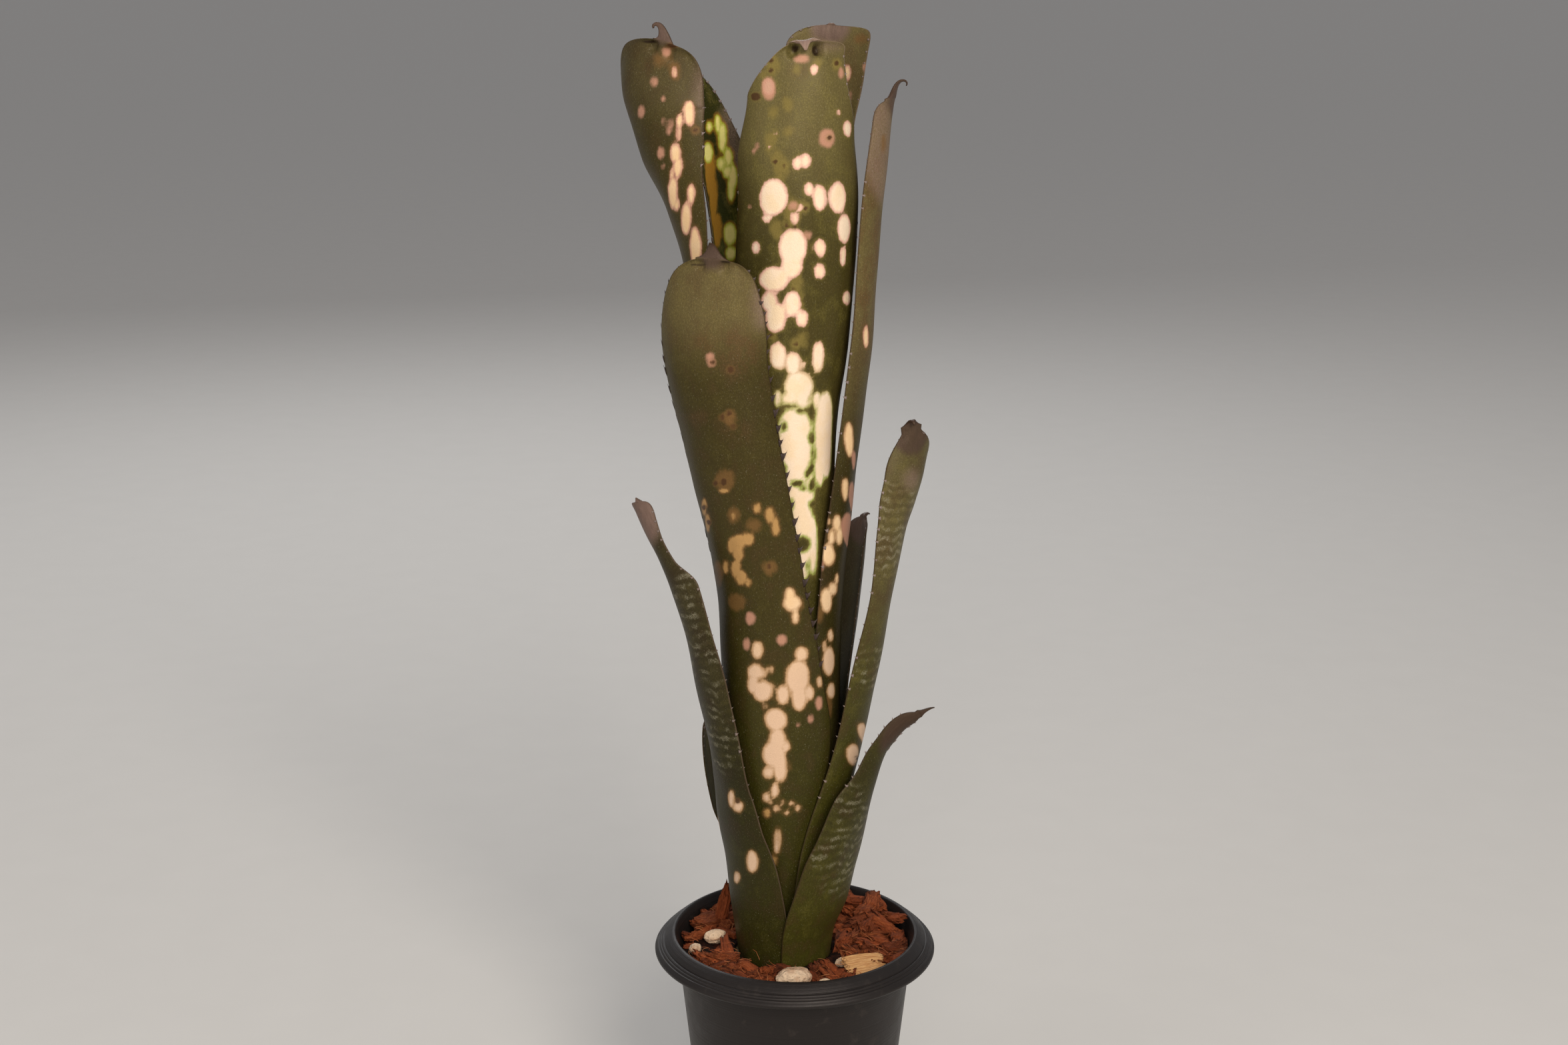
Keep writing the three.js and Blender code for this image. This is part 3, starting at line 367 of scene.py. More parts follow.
        ("cream", 141, 14.9, 1.2, 1, 0), ("cream", 139.5, 11, 1, 0.9, 0),
        ("cream", 143.5, 6, 0.8, 0.7, 0.1), ("amber", 139, 4.1, 1.8, 1.4, 0.1),
        ("cream", 128.5, 7.1, 5, 1.2, 0.1), ("amber", 121, 5.5, 2.6, 0.9, 0.1),
        ("tan", 157, 12.4, 1, 0.7, 0), ("haze", 334.5, 1, 2, 3.1, 0.4), ("tip", 332, 1, 5, 4, 0),
    ],
    "leaf_back_right": [
        ("haze", 236, 1.5, 3.1, 6, -0.4), ("tip", 238, 0, 12, 8, 0),
    ],
    "leaf_right_middle": [
        ("cream", 164, -1.5, 4.8, 3.5, -0.9), ("cream", 157, -6, 4.4, 3.8, -0.5),
        ("rust", 154.5, -0.8, 1.4, 1.8, -2.1), ("haze", 255, -2, 3, 3, -0.2),
        ("scales", 236.5, -3.5, 18.3, 17.5, -0.5), ("scales", 189, -5, 8.7, 15.5, -1.2),
        ("tip", 273, 0, 10, 8, 0),
    ],
    "leaf_back_low": [
        ("tip", 164, 0, 7, 5, 0),
    ],
    "leaf_left_middle": [
        ("cream", 143, 6, 3.6, 1.6, 0.3), ("cream", 140, 8.4, 2, 2.4, 0.4),
        ("cream", 121, 8.5, 4.3, 2.4, 0.3), ("cream", 112.5, -0.4, 2.6, 1.8, 0.4),
        ("rust", 142, 8.8, 0.8, 0.9, 0.3), ("scales", 205.5, 8, 21.4, 14.7, 0.5),
        ("scales", 169.5, 9.5, 17.1, 12.3, 0.4), ("haze", 239.5, -2, 9.1, 7.8, 0.7),
        ("tip", 249, 0, 14, 6, 0),
    ],
    "leaf_right_low": [
        ("scales", 129, -10, 22.7, 15.9, -0.4), ("flush", 166.5, 0.5, 3.2, 5.7, 0.1),
        ("tip", 175, 0, 16, 5, 0),
    ],
}

# Marks at random where the leaves hide or turn away: kind, how many, heights and ways aside
SCATTER = {
    "leaf_inner": [("cream", 20, (215, 340), (-19, 19))],
    "leaf_centre": [("cream", 14, (212, 300), (-24, -14)), ("cream", 26, (100, 205), (-30, 30))],
    "leaf_back_left": [("cream", 30, (205, 310), (-14, 14))],
    "leaf_left": [
        ("cream", 12, (212, 330), (-15, -6)), ("cream", 4, (330, 361), (-19, -14)),
        ("cream", 18, (105, 205), (-24, 24)),
    ],
    "leaf_right": [("cream", 16, (208, 365), (4, 11)), ("cream", 16, (105, 205), (4, 20))],
    "leaf_front": [("cream", 8, (150, 240), (-29, -24)), ("cream", 20, (95, 150), (-28, -8))],
    "leaf_back_right": [("cream", 8, (95, 170), (4, 12))],
    "leaf_right_middle": [("cream", 10, (95, 225), (5, 14)), ("cream", 4, (85, 110), (-18, 2))],
    "leaf_back_low": [("cream", 4, (85, 145), (-7, 7))],
    "leaf_left_middle": [("cream", 6, (85, 200), (-13, -9))],
    "leaf_right_low": [("cream", 6, (85, 140), (12, 20))],
}

# Hollow marks are painted shade in the hollows beside the horn; the marks of pale haze are partly lilac
# bloom and partly painted sheen
MARK_KINDS = ("cream", "amber", "tan", "blush", "rust", "hollow", "tip", "scales", "haze", "flush")

OLIVE = {
    "upper": (0.103, 0.078, 0.028), "middle": (0.05, 0.038, 0.008), "lower": (0.039, 0.035, 0.0045),
    "flush": 0.3, "mottle": 0.06, "cream": (0.8, 0.56, 0.33), "warm_cream": (0.76, 0.5, 0.25),
    "low_cream": (0.66, 0.45, 0.3), "rim": (0.5, 0.26, 0.18), "low_rim": (0.4, 0.24, 0.12),
    "tan": (0.16, 0.082, 0.026),
}

# Colours of each leaf finish from the tip down, and how strong its flush and yellow mottling are.
# The steps from the tip down are partly the leaves' own colours and partly painted light and shade,
# and the lower cream is partly painted shade as well.
FINISHES = {
    "olive": OLIVE,
    "blotched": OLIVE | {
        "upper": (0.13, 0.104, 0.035), "middle": (0.058, 0.046, 0.01), "lower": (0.038, 0.048, 0.007),
        "flush": 0.1, "mottle": 0.22, "cream": (0.86, 0.68, 0.5), "warm_cream": (0.83, 0.62, 0.38),
        "low_cream": (0.74, 0.54, 0.3), "rim": (0.68, 0.39, 0.3), "low_rim": (0.33, 0.36, 0.09),
        "tan": (0.2, 0.15, 0.038),
    },
    # The mottled leaf's lime and mustard marks are partly its own colours and partly a painted glow of
    # light through the thin leaf, and its dark green is partly painted shade
    "mottled": OLIVE | {
        "upper": (0.035, 0.036, 0.003), "middle": (0.05, 0.07, 0.006), "lower": (0.03, 0.04, 0.005),
        "mottle": 0.5, "flush": 0.0, "cream": (0.84, 0.76, 0.24), "warm_cream": (0.86, 0.68, 0.26),
        "low_cream": (0.75, 0.72, 0.14), "rim": (0.4, 0.42, 0.04), "low_rim": (0.4, 0.42, 0.04),
        "tan": (0.48, 0.23, 0.022),
    },
    # The dark finish is partly painted light: lighter in its middle than the olive one, for a leaf that
    # lies in shade
    "dark": OLIVE | {
        "upper": (0.11, 0.09, 0.045), "middle": (0.075, 0.064, 0.026), "lower": (0.04, 0.04, 0.012),
        "flush": 0.3, "mottle": 0.0,
    },
    "banded": OLIVE | {
        "upper": (0.104, 0.083, 0.03), "middle": (0.068, 0.057, 0.013), "lower": (0.047, 0.043, 0.006),
        "cream": (0.66, 0.45, 0.3), "flush": 0.4, "mottle": 0.15,
    },
}

SKIN_CLOUD = (0.07, 0.038, 0.016)
SKIN_YELLOW = (0.2, 0.165, 0.035)
SKIN_FLUSH = (0.095, 0.05, 0.018)
DARK_MARGIN = (0.03, 0.015, 0.008)
PALE_MARGIN = (0.26, 0.18, 0.13)
SKIN_GLOSS = (1.0, 0.85, 0.66)


class BromeliadLeafSettings(PropertyGroup):
    """Sizes and colours of the leaves"""

    thickness: FloatProperty(
        name="Thickness", description="Thickness of a leaf at its midrib", default=0.0007, unit="LENGTH"
    )
    grid: FloatProperty(
        name="Grid", description="Distance between the points of a leaf's skin",
        default=0.0012, unit="LENGTH",
    )
    ripple: FloatProperty(
        name="Ripple", description="Height of the soft waves in a blade", default=0.00014, unit="LENGTH"
    )
    spine_spacing: FloatProperty(
        name="Spine spacing", description="Way from one spine of the margin to the next",
        default=0.0055, unit="LENGTH",
    )
    spine_length: FloatProperty(
        name="Spine length", description="How far a full spine stands out", default=0.0012, unit="LENGTH"
    )
    blush: FloatVectorProperty(
        name="Blush", description="Colour of the pink marks", default=(0.5, 0.25, 0.165), subtype="COLOR"
    )
    amber: FloatVectorProperty(
        name="Amber", description="Colour of the amber marks", default=(0.44, 0.25, 0.09), subtype="COLOR"
    )
    rust: FloatVectorProperty(
        name="Rust", description="Colour of the brown pits", default=(0.06, 0.026, 0.01), subtype="COLOR"
    )
    # Painted shade: the near black colour laid into the hollows beside the horn, under the rolled end
    hollow_shade: FloatVectorProperty(
        name="Pit", description="Colour of the hollows by the horn",
        default=(0.014, 0.006, 0.004), subtype="COLOR",
    )
    purple: FloatVectorProperty(
        name="Purple", description="Colour of the tips", default=(0.05, 0.029, 0.021), subtype="COLOR"
    )
    # Colour of the lilac bloom, also laid on as painted sheen where the pale haze marks lie
    bloom_and_sheen: FloatVectorProperty(
        name="Bloom", description="Colour of the lilac bloom",
        default=(0.25, 0.165, 0.135), subtype="COLOR",
    )
    silver: FloatVectorProperty(
        name="Silver", description="Colour of the scales", default=(0.3, 0.275, 0.19), subtype="COLOR"
    )
    dark_spine: FloatVectorProperty(
        name="Dark spine", description="Colour of the dark spines",
        default=(0.02, 0.009, 0.006), subtype="COLOR",
    )
    pale_spine: FloatVectorProperty(
        name="Pale spine", description="Colour of the pale spines",
        default=(0.2, 0.15, 0.13), subtype="COLOR",
    )


class BromeliadPotSettings(PropertyGroup):
    """Sizes and colours of the pot"""

    height: FloatProperty(name="Height", description="Height of the rim", default=0.088, unit="LENGTH")
    foot_radius: FloatProperty(
        name="Foot radius", description="Radius at the foot",
        default=0.033, unit="LENGTH",
    )
    shoulder_radius: FloatProperty(
        name="Shoulder radius", description="Radius under the rim", default=0.0416, unit="LENGTH"
    )
    rim_radius: FloatProperty(
        name="Rim radius", description="Outer radius of the rim",
        default=0.05, unit="LENGTH",
    )
    mouth_radius: FloatProperty(
        name="Mouth radius", description="Radius of the mouth",
        default=0.0426, unit="LENGTH",
    )
    wall: FloatProperty(name="Wall", description="Thickness of the wall", default=0.0014, unit="LENGTH")
    sides: IntProperty(name="Sides", description="Points round the pot", default=160, min=24, max=256)
    plastic: FloatVectorProperty(
        name="Plastic", description="Colour of the plastic",
        default=(0.0105, 0.0084, 0.0077), subtype="COLOR",
    )


class BromeliadMixSettings(PropertyGroup):
    """Sizes and colours of what fills the pot"""

    chips: IntProperty(name="Chips", description="Number of husk chips", default=230, min=1, max=400)
    fibres: IntProperty(name="Fibres", description="Number of loose fibres", default=170, min=1, max=800)
    husk: FloatVectorProperty(
        name="Husk", description="Colour of the husk", default=(0.35, 0.078, 0.022), subtype="COLOR"
    )
    dark_husk: FloatVectorProperty(
        name="Dark husk", description="Colour of the wet husk",
        default=(0.05, 0.012, 0.005), subtype="COLOR",
    )
    fibre: FloatVectorProperty(
        name="Fibre", description="Colour of the loose fibres",
        default=(0.42, 0.17, 0.06), subtype="COLOR",
    )
    pumice: FloatVectorProperty(
        name="Pumice", description="Colour of the pebbles", default=(0.68, 0.5, 0.34), subtype="COLOR"
    )
    wood: FloatVectorProperty(
        name="Wood", description="Colour of the wood chip", default=(0.68, 0.39, 0.16), subtype="COLOR"
    )


class BromeliadStageSettings(PropertyGroup):
    """Camera, floor and lights"""

    lens: FloatProperty(name="Lens", description="Focal length in millimetres", default=50.0)
    camera_place: FloatVectorProperty(
        name="Camera", description="Place of the camera",
        default=(-0.00382, -0.72007, 0.42072), subtype="TRANSLATION",
    )
    camera_pitch: FloatProperty(
        name="Pitch", description="Tilt of the camera below level",
        default=math.radians(14.2577), subtype="ANGLE",
    )
    floor_radius: FloatProperty(
        name="Floor", description="Radius of the floor",
        default=60.0, unit="LENGTH",
    )
    floor: FloatVectorProperty(
        name="Floor colour", description="Colour of the floor", default=(0.62, 0.6, 0.57), subtype="COLOR"
    )
    sky: FloatVectorProperty(
        name="Room light", description="Colour of the light all round",
        default=(0.33, 0.33, 0.34), subtype="COLOR",
    )


SETTINGS = {
    "bromeliad_leaves": BromeliadLeafSettings,
    "bromeliad_pot": BromeliadPotSettings,
    "bromeliad_mix": BromeliadMixSettings,
    "bromeliad_stage": BromeliadStageSettings,
}


def make_object(name, points, faces, materials=(), kinds=None, smooth=True):
    """A mesh object from points in millimetres."""
    mesh = bpy.data.meshes.new(name)
    mesh.from_pydata((np.asarray(points) * MM).tolist(), [], faces)
    for material in materials:
        mesh.materials.append(material)
    if kinds is not None:
        mesh.polygons.foreach_set("material_index", kinds)
    mesh.polygons.foreach_set("use_smooth", [smooth] * len(mesh.polygons))
    mesh.validate()
    mesh.update()
    made = bpy.data.objects.new(name, mesh)
    bpy.context.scene.collection.objects.link(made)
    return made


def seat(made, node):
    """Puts a piece in the place of a node of the frame."""
    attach(made, "root")
    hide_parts(node)


def store(made, name, values):
    """Keeps a number or a vector for each point of a mesh, for its material to read."""
    values = np.asarray(values, np.float32)
    if values.ndim == 1:
        made.data.attributes.new(name, "FLOAT", "POINT").data.foreach_set("value", values)
    else:
        made.data.attributes.new(name, "FLOAT_VECTOR", "POINT").data.foreach_set("vector", values.ravel())


def unit(vectors):
    """Vectors at length 1."""
    return vectors / np.linalg.norm(vectors, axis=-1, keepdims=True)


def smoothstep(value, low, high):
    """0 at low and 1 at high, smoothly."""
    share = np.clip((value - low) / (high - low), 0, 1)
    return share * share * (3 - 2 * share)


def through(points, at, column=1):
    """Smooth values through rising points, without overshoot."""
    points = np.asarray(points, float)
    levels, values = points[:, 0], points[:, column]
    slopes = np.diff(values) / np.diff(levels)
    before, after = slopes[:-1], slopes[1:]
    same = before * after > 0
    inner = np.where(same, 2 * before * after / np.where(same, before + after, 1), 0)
    tangents = np.concatenate([slopes[:1], inner, slopes[-1:]])
    i = np.clip(np.searchsorted(levels, at) - 1, 0, len(levels) - 2)
    span = levels[i + 1] - levels[i]
    t = np.clip((at - levels[i]) / span, 0, 1)
    start = (1 + 2 * t) * (1 - t) ** 2 * values[i] + t * (1 - t) ** 2 * span * tangents[i]
    end = t * t * (3 - 2 * t) * values[i + 1] - t * t * (1 - t) * span * tangents[i + 1]
    return start + end


def ring_faces(rows, around):
    """Quads between rows of points that each close into a ring."""
    row, k = np.meshgrid(np.arange(rows - 1), np.arange(around), indexing="ij")
    here, beside = row * around + k, row * around + (k + 1) % around
    return np.stack([here, beside, beside + around, here + around], -1).reshape(-1, 4).tolist()


def leaf_stations(leaf):
    """Stations of a leaf from its foot: those of the tube, then those of the blade."""
    side = math.radians(leaf["azimuth"])
    rows = []
    for height in TUBE_LEVELS:
        if height > leaf["nested"]:
            break
        radius = float(through(TUBE_CORE, height)) + LAYER_PITCH * leaf["layer"]
        share = (height - LEAF_FOOT) / (leaf["nested"] - LEAF_FOOT)
        wrap = math.radians(leaf["wrap"][0] + (leaf["wrap"][1] - leaf["wrap"][0]) * share)
        place = radius * math.sin(side), -radius * math.cos(side)
        rows.append((height, *place, leaf["azimuth"], wrap * radius, radius))
    return np.array(rows + leaf["blade"], float)


def leaf_heights(leaf, step):
    """Heights of the rows, close together where the tip rounds off."""
    apex, rounded = leaf["blade"][-1][0], max(leaf["tip"])
    start = apex - rounded
    plain = np.linspace(LEAF_FOOT, start, math.ceil((start - LEAF_FOOT) / step), endpoint=False)
    rounding = np.linspace(0, math.pi / 2, math.ceil(rounded / step) + 14)
    return np.concatenate([plain, start + rounded * np.sin(rounding)])


def side_width(leaf, heights, width, side):
    """Way from the midrib to the margin on the left (0) or the right (1)."""
    length, blunt = leaf["tip"][side], leaf["blunt"][side]
    towards_tip = np.clip(1 - (leaf["blade"][-1][0] - heights) / length, 0, 1)
    aside = leaf["horn"]["aside"] * (1 if side else -1)
    rounded = width * (1 - towards_tip**blunt) ** (1 / blunt)
    return np.maximum(rounded, HORN_FLARE * leaf["horn"]["half"] + aside)


def leaf_frames(leaf, heights):
    """Midrib points, outward, sideways and upward directions, both widths and channel radius."""
    stations = leaf_stations(leaf)
    apex = stations[-1, 0]

    def value(column, shift=0.0):
        return through(stations, heights + shift, column)

    run = np.minimum(heights + 0.5, apex) - np.maximum(heights - 0.5, LEAF_FOOT)
    rise = unit(np.stack([value(1, 0.5) - value(1, -0.5), value(2, 0.5) - value(2, -0.5), run], -1))
    level = np.clip(1 - (heights - leaf["nested"]) / STRAIGHTEN, 0, 1)[:, None]
    up = unit(rise * (1 - level) + level * np.array([0, 0, 1.0]))
    facing = np.radians(value(3))
    across = np.stack([np.cos(facing), np.sin(facing), 0 * facing], -1)
    across = unit(across - up * (across * up).sum(-1, keepdims=True))
    return {
        "at": np.stack([value(1) + PLANT_X, value(2), heights], -1),
        "out": np.cross(across, up),
        "across": across,
        "up": up,
        "left": side_width(leaf, heights, value(4), 0),
        "right": side_width(leaf, heights, value(4), 1),
        "bend": value(5),
        "height": heights,
    }


def horn_frames(leaf, frames):
    """The horn on the tip: it narrows to a point, and bends over more and more."""
    horn = leaf["horn"]
    length, half, (first, last) = horn["length"], horn["half"], horn["lean"]
    share = ((np.arange(HORN_ROWS) + 1) / HORN_ROWS)[:, None]
    at, out, across, up = (frames[key][-1] for key in ("at", "out", "across", "up"))
    swing = math.radians(horn["swing"])
    towards = out * math.cos(swing) + across * math.sin(swing)
    angle = np.radians(first * np.minimum(4 * share, 1) + (last - first) * share ** horn["curl"])
    sine, cosine = np.sin(angle), np.cos(angle)

    def turned_over(direction):
        return direction + (direction @ towards) * ((cosine - 1) * towards - sine * up)

    way = up * cosine + towards * sine
    width = half * (1 - 0.9 * share + (HORN_FLARE - 1) * np.exp(-7 * share))[:, 0]
    return {
        "at": at + horn["aside"] * across + np.cumsum(way, 0) * length / HORN_ROWS,
        "out": turned_over(out),
        "across": turned_over(across),
        "up": way,
        "left": width,
        "right": width,
        "bend": frames["bend"][-1] * (1 - share[:, 0]) ** 2 + 0.6 * half + 0.6,
        "height": frames["height"][-1] + length * share[:, 0],
    }


def ripple(leaf, along, height, size):
    """Soft waves in the blade, none in the tube."""
    turn = leaf["layer"] * 1.7
    waves = np.sin(height / 9.1 + along / 5.3 + turn) + 0.7 * np.sin(height / 4.7 - along / 3.1 + 2 * turn)
    waves = waves + 0.5 * np.sin(along / 1.9 + 0.02 * height + turn)
    return size * waves * smoothstep(height, leaf["nested"], leaf["nested"] + 30)


def tip_relief(leaf, along, frames):
    """Rolled lip along the end, a ridge up to the horn and a hollow on either side of it."""
    apex, half = leaf["blade"][-1][0], leaf["horn"]["half"]
    lip, depth = leaf["lip"]
    height = frames["height"][:, None]
    below = np.maximum(apex - height, 0)
    beyond = np.clip((height - apex) / leaf["horn"]["length"], 0, 1)
    from_horn = along - np.where(height <= apex, leaf["horn"]["aside"], 0)
    margin = np.where(along < 0, frames["left"][:, None] + along, frames["right"][:, None] - along)
    near_end = smoothstep(-below, -0.7 * min(leaf["tip"]) - 2, 0)
    rolled = lip * np.exp(-((np.minimum(margin, below) / 1.2) ** 2)) * near_end
    ridge = 0.35 * lip * np.exp(-((from_horn / (0.8 * half)) ** 2)) * smoothstep(-below, -9, 0)
    beside = (np.abs(from_horn) - HORN_FLARE * half * 0.55 - 1.1) / 1.6
    hollow = depth * np.exp(-(beside**4) - ((below - 2.4) / 1.9) ** 4)
    blade = rolled * (1 - 0.6 * np.exp(-((from_horn / half) ** 2))) + ridge - hollow
    return np.where(height <= apex, blade, (0.4 * rolled + ridge) * (1 - beyond) ** 2)


def on_leaf(frames, along, lift):
    """Points on a leaf, at ways along its skin from the midrib and heights over its middle."""
    bend = frames["bend"][:, None]
    angle = along / bend
    outward = ((bend + lift) * np.cos(angle) - bend)[..., None] * frames["out"][:, None]
    sideways = ((bend + lift) * np.sin(angle))[..., None] * frames["across"][:, None]
    return frames["at"][:, None] + outward + sideways


def leaf_rows(leaf, settings):
    """Frames of all rows of a leaf, horn and all."""
    frames = leaf_frames(leaf, leaf_heights(leaf, settings.grid / MM))
    horn = horn_frames(leaf, frames)
    return {key: np.concatenate([frames[key], horn[key]]) for key in frames}


def leaf_skin(leaf, frames, settings):
    """A closed ring of points round each row, and how far along the skin each point lies."""
    widest = (frames["left"] + frames["right"]).max()
    columns = math.ceil(widest / (settings.grid / MM))
    share = np.linspace(-1, 1, columns + 1)
    share = share + 0.1 * np.sin(np.pi * share)
    left, right = frames["left"][:, None], frames["right"][:, None]
    along = np.where(share < 0, share * left, share * right)
    beyond = np.clip((frames["height"] - leaf["blade"][-1][0]) / leaf["horn"]["length"], 0, 1)[:, None]
    body = settings.thickness / MM * (1 + 0.9 * np.sin(np.pi * np.sqrt(beyond)) - 0.45 * beyond)
    half_thick = 0.5 * body * (0.5 + 0.5 * np.sqrt(np.clip(1 - share**4, 0, 1)))
    lift = ripple(leaf, along, frames["height"][:, None], settings.ripple / MM)
    lift = lift + tip_relief(leaf, along, frames)
    ends = np.concatenate([-left - 0.12, right + 0.12], 1)
    outer = on_leaf(frames, along, lift + half_thick)
    inner = on_leaf(frames, along, lift - half_thick)
    edge = on_leaf(frames, ends, lift[:, [0, -1]])
    ring = np.concatenate([outer, edge[:, 1:], inner[:, ::-1], edge[:, :1]], 1)
    return ring, np.concatenate([along, ends[:, 1:], along[:, ::-1], ends[:, :1]], 1)


def end_faces(first, around, flip):
    """Closes one end of a leaf, between its outer and its inner side."""
    columns = (around - 4) // 2
    last = first + around - 1
    faces = [(first + i, first + i + 1, last - 2 - i, last - 1 - i) for i in range(columns)]
    faces.append((first + columns, first + columns + 1, first + columns + 2))
    faces.append((first, last - 1, last))
    return [face[::-1] for face in faces] if flip else faces


def spine_roots(leaf, frames, side, settings, random):
    """Roots, outward and lengthwise directions and lengths of the spines on one margin."""
    blade = (frames["height"] > leaf["spines"]["lowest"]) & (frames["height"] < leaf["blade"][-1][0] - 0.6)
    rows = {key: frames[key][blade] for key in frames}
    width = (rows["right"] if side > 0 else -rows["left"])[:, None]
    edge = on_leaf(rows, width, np.zeros_like(width))[:, 0]
    inset = on_leaf(rows, width - side * 0.7, np.zeros_like(width))[:, 0]
    way = np.concatenate([[0], np.cumsum(np.linalg.norm(np.diff(edge, axis=0), axis=1))])
    tangent = unit(np.gradient(edge, way, axis=0))
    places = [1.0]
    while places[-1] < way[-1] - 2:
        crowding = 1 - 0.42 * smoothstep(places[-1], way[-1] - 60, way[-1])
        places.append(places[-1] + settings.spine_spacing / MM * crowding * random.uniform(0.78, 1.22))
    places = np.array(places[:-1])

    def pick(values):
        return np.stack([np.interp(places, way, values[:, k]) for k in range(3)], -1)

    length = random.uniform(0.75, 1.15, len(places)) * (1 - 0.3 * smoothstep(places, way[-1] - 60, way[-1]))
    length = length * leaf["spines"]["size"] * settings.spine_length / MM
    return pick(inset), unit(pick(edge) - pick(inset)), unit(pick(tangent)), length


def spine_mesh(root, outward, upward, length):
    """Curved thorns, all at once: rings of points, their faces and the share of the way to the tip."""
    around = 6
    shares = np.array([0, 0.25, 0.5, 0.75, 0.92, 1.0])
    angles = 2 * np.pi * np.arange(around) / around
    face = unit(np.cross(upward, outward))
    reach = (0.7 + length)[:, None, None] * shares[:, None] ** 0.9
    sweep = 0.8 * length[:, None, None] * shares[:, None] ** 2.5
    centre = root[:, None] + reach * outward[:, None] + sweep * upward[:, None]
    broad = (0.3 + 0.75 * length)[:, None] * (1 - shares) ** 1.5 + 0.02
    thick = 0.28 * (1 - shares) ** 0.8 + 0.02
    rings = centre[:, :, None] + (broad[..., None] * np.cos(angles))[..., None] * upward[:, None, None]
    rings = rings + (thick[None, :, None] * np.sin(angles))[..., None] * face[:, None, None]
    one = ring_faces(len(shares), around)
    one += [list(range(around))[::-1], [len(shares) * around - around + k for k in range(around)]]
    per = len(shares) * around
    faces = [[k + i * per for k in each] for i in range(len(root)) for each in one]
    return rings.reshape(-1, 3), faces, np.tile(np.repeat(shares, around), len(root))


def mark_depth(marks, kind, along, height):
    """How deep a point lies inside the marks of a kind, in millimetres; negative outside them."""
    total = np.full(along.shape, math.exp(-MARK_REACH / MARK_BLEND))
    for what, level, side, tall, wide, slant in marks:
        if what == kind:
            up = height - level
            beside = along - side - slant * up
            reach = np.hypot(up / tall, beside / wide)
            inward = np.hypot(up / tall**2, beside / wide**2)
            depth = (1 - reach) * reach / np.maximum(inward, 1e-6)
            total += np.exp(np.clip(depth / MARK_BLEND, -20, 20))
    return np.clip(MARK_BLEND * np.log(total), -MARK_REACH, MARK_REACH)


def scattered_marks(name, random):
    """Marks at random on the parts of a leaf that face away."""
    marks = []
    for kind, count, (low, high), (left, right) in SCATTER[name]:
        for _ in range(count):
            tall = random.uniform(1.2, 6)
            wide = 0.7 + tall * random.uniform(0.25, 0.45)
            marks.append((kind, random.uniform(low, high), random.uniform(left, right), tall, wide, 0))
    return marks


def leaf_marks(leaf, along, height, random):
    """Depth in each kind of mark at each point."""
    marks = MARKS[leaf["name"]] + scattered_marks(leaf["name"], random)
    depths = {kind: mark_depth(marks, kind, along, height) for kind in MARK_KINDS}
    veins = mark_depth(marks, "vein", along, height)
    depths["cream"] = np.minimum(depths["cream"], -veins)
    return depths


def build_leaf(leaf, settings, materials):
    """One leaf with the spines on both margins."""
    random = np.random.default_rng(LEAF_SEED + leaf["layer"])
    frames = leaf_rows(leaf, settings)
    ring, along = leaf_skin(leaf, frames, settings)
    rows, around = along.shape
    height = np.broadcast_to(frames["height"][:, None], along.shape)
    kept = leaf_marks(leaf, along, height, random)
    kept["margin"] = np.where(along < 0, frames["left"][:, None] + along, frames["right"][:, None] - along)
    apex = leaf["blade"][-1][0]
    kept["pale"] = np.full(along.shape, float(leaf["pale"]))
    # Painted light and shade: fade and tone make the skin lighter or darker from the tip down, leaf by leaf
    kept["fade"] = smoothstep(apex - height, *leaf["fade"])
    kept["tone"] = leaf["tone"][0] + (leaf["tone"][1] - leaf["tone"][0]) * kept["fade"]
    kept["horn"] = np.clip((height - apex) / 0.8 + 0.5, 0, 1)
    place = np.stack([along, height, np.full(along.shape, 37.0 * leaf["layer"])], -1).reshape(-1, 3)
    faces = ring_faces(rows, around) + end_faces(0, around, True)
    faces += end_faces((rows - 1) * around, around, False)
    kinds = [0] * len(faces)
    points = [ring.reshape(-1, 3)]
    values = {name: [depth.ravel()] for name, depth in kept.items()}
    for side in (1, -1):
        thorns, sides, share = spine_mesh(*spine_roots(leaf, frames, side, settings, random))
        start = sum(len(part) for part in points)
        faces += [[k + start for k in face] for face in sides]
        kinds += [1] * len(sides)
        points.append(thorns)
        for name, parts in values.items():
            parts.append(leaf["spines"]["darkness"] * (1 - 0.4 * share) if name == "tone" else 0 * share)
    points = np.concatenate(points)
    made = make_object(leaf["name"] + "_blade", points, faces, materials, kinds)
    store(made, "leaf_place", np.concatenate([place, 0 * points[len(place):]]))
    for name, parts in values.items():
        store(made, "leaf_" + name, np.concatenate(parts))
    seat(made, leaf["name"])


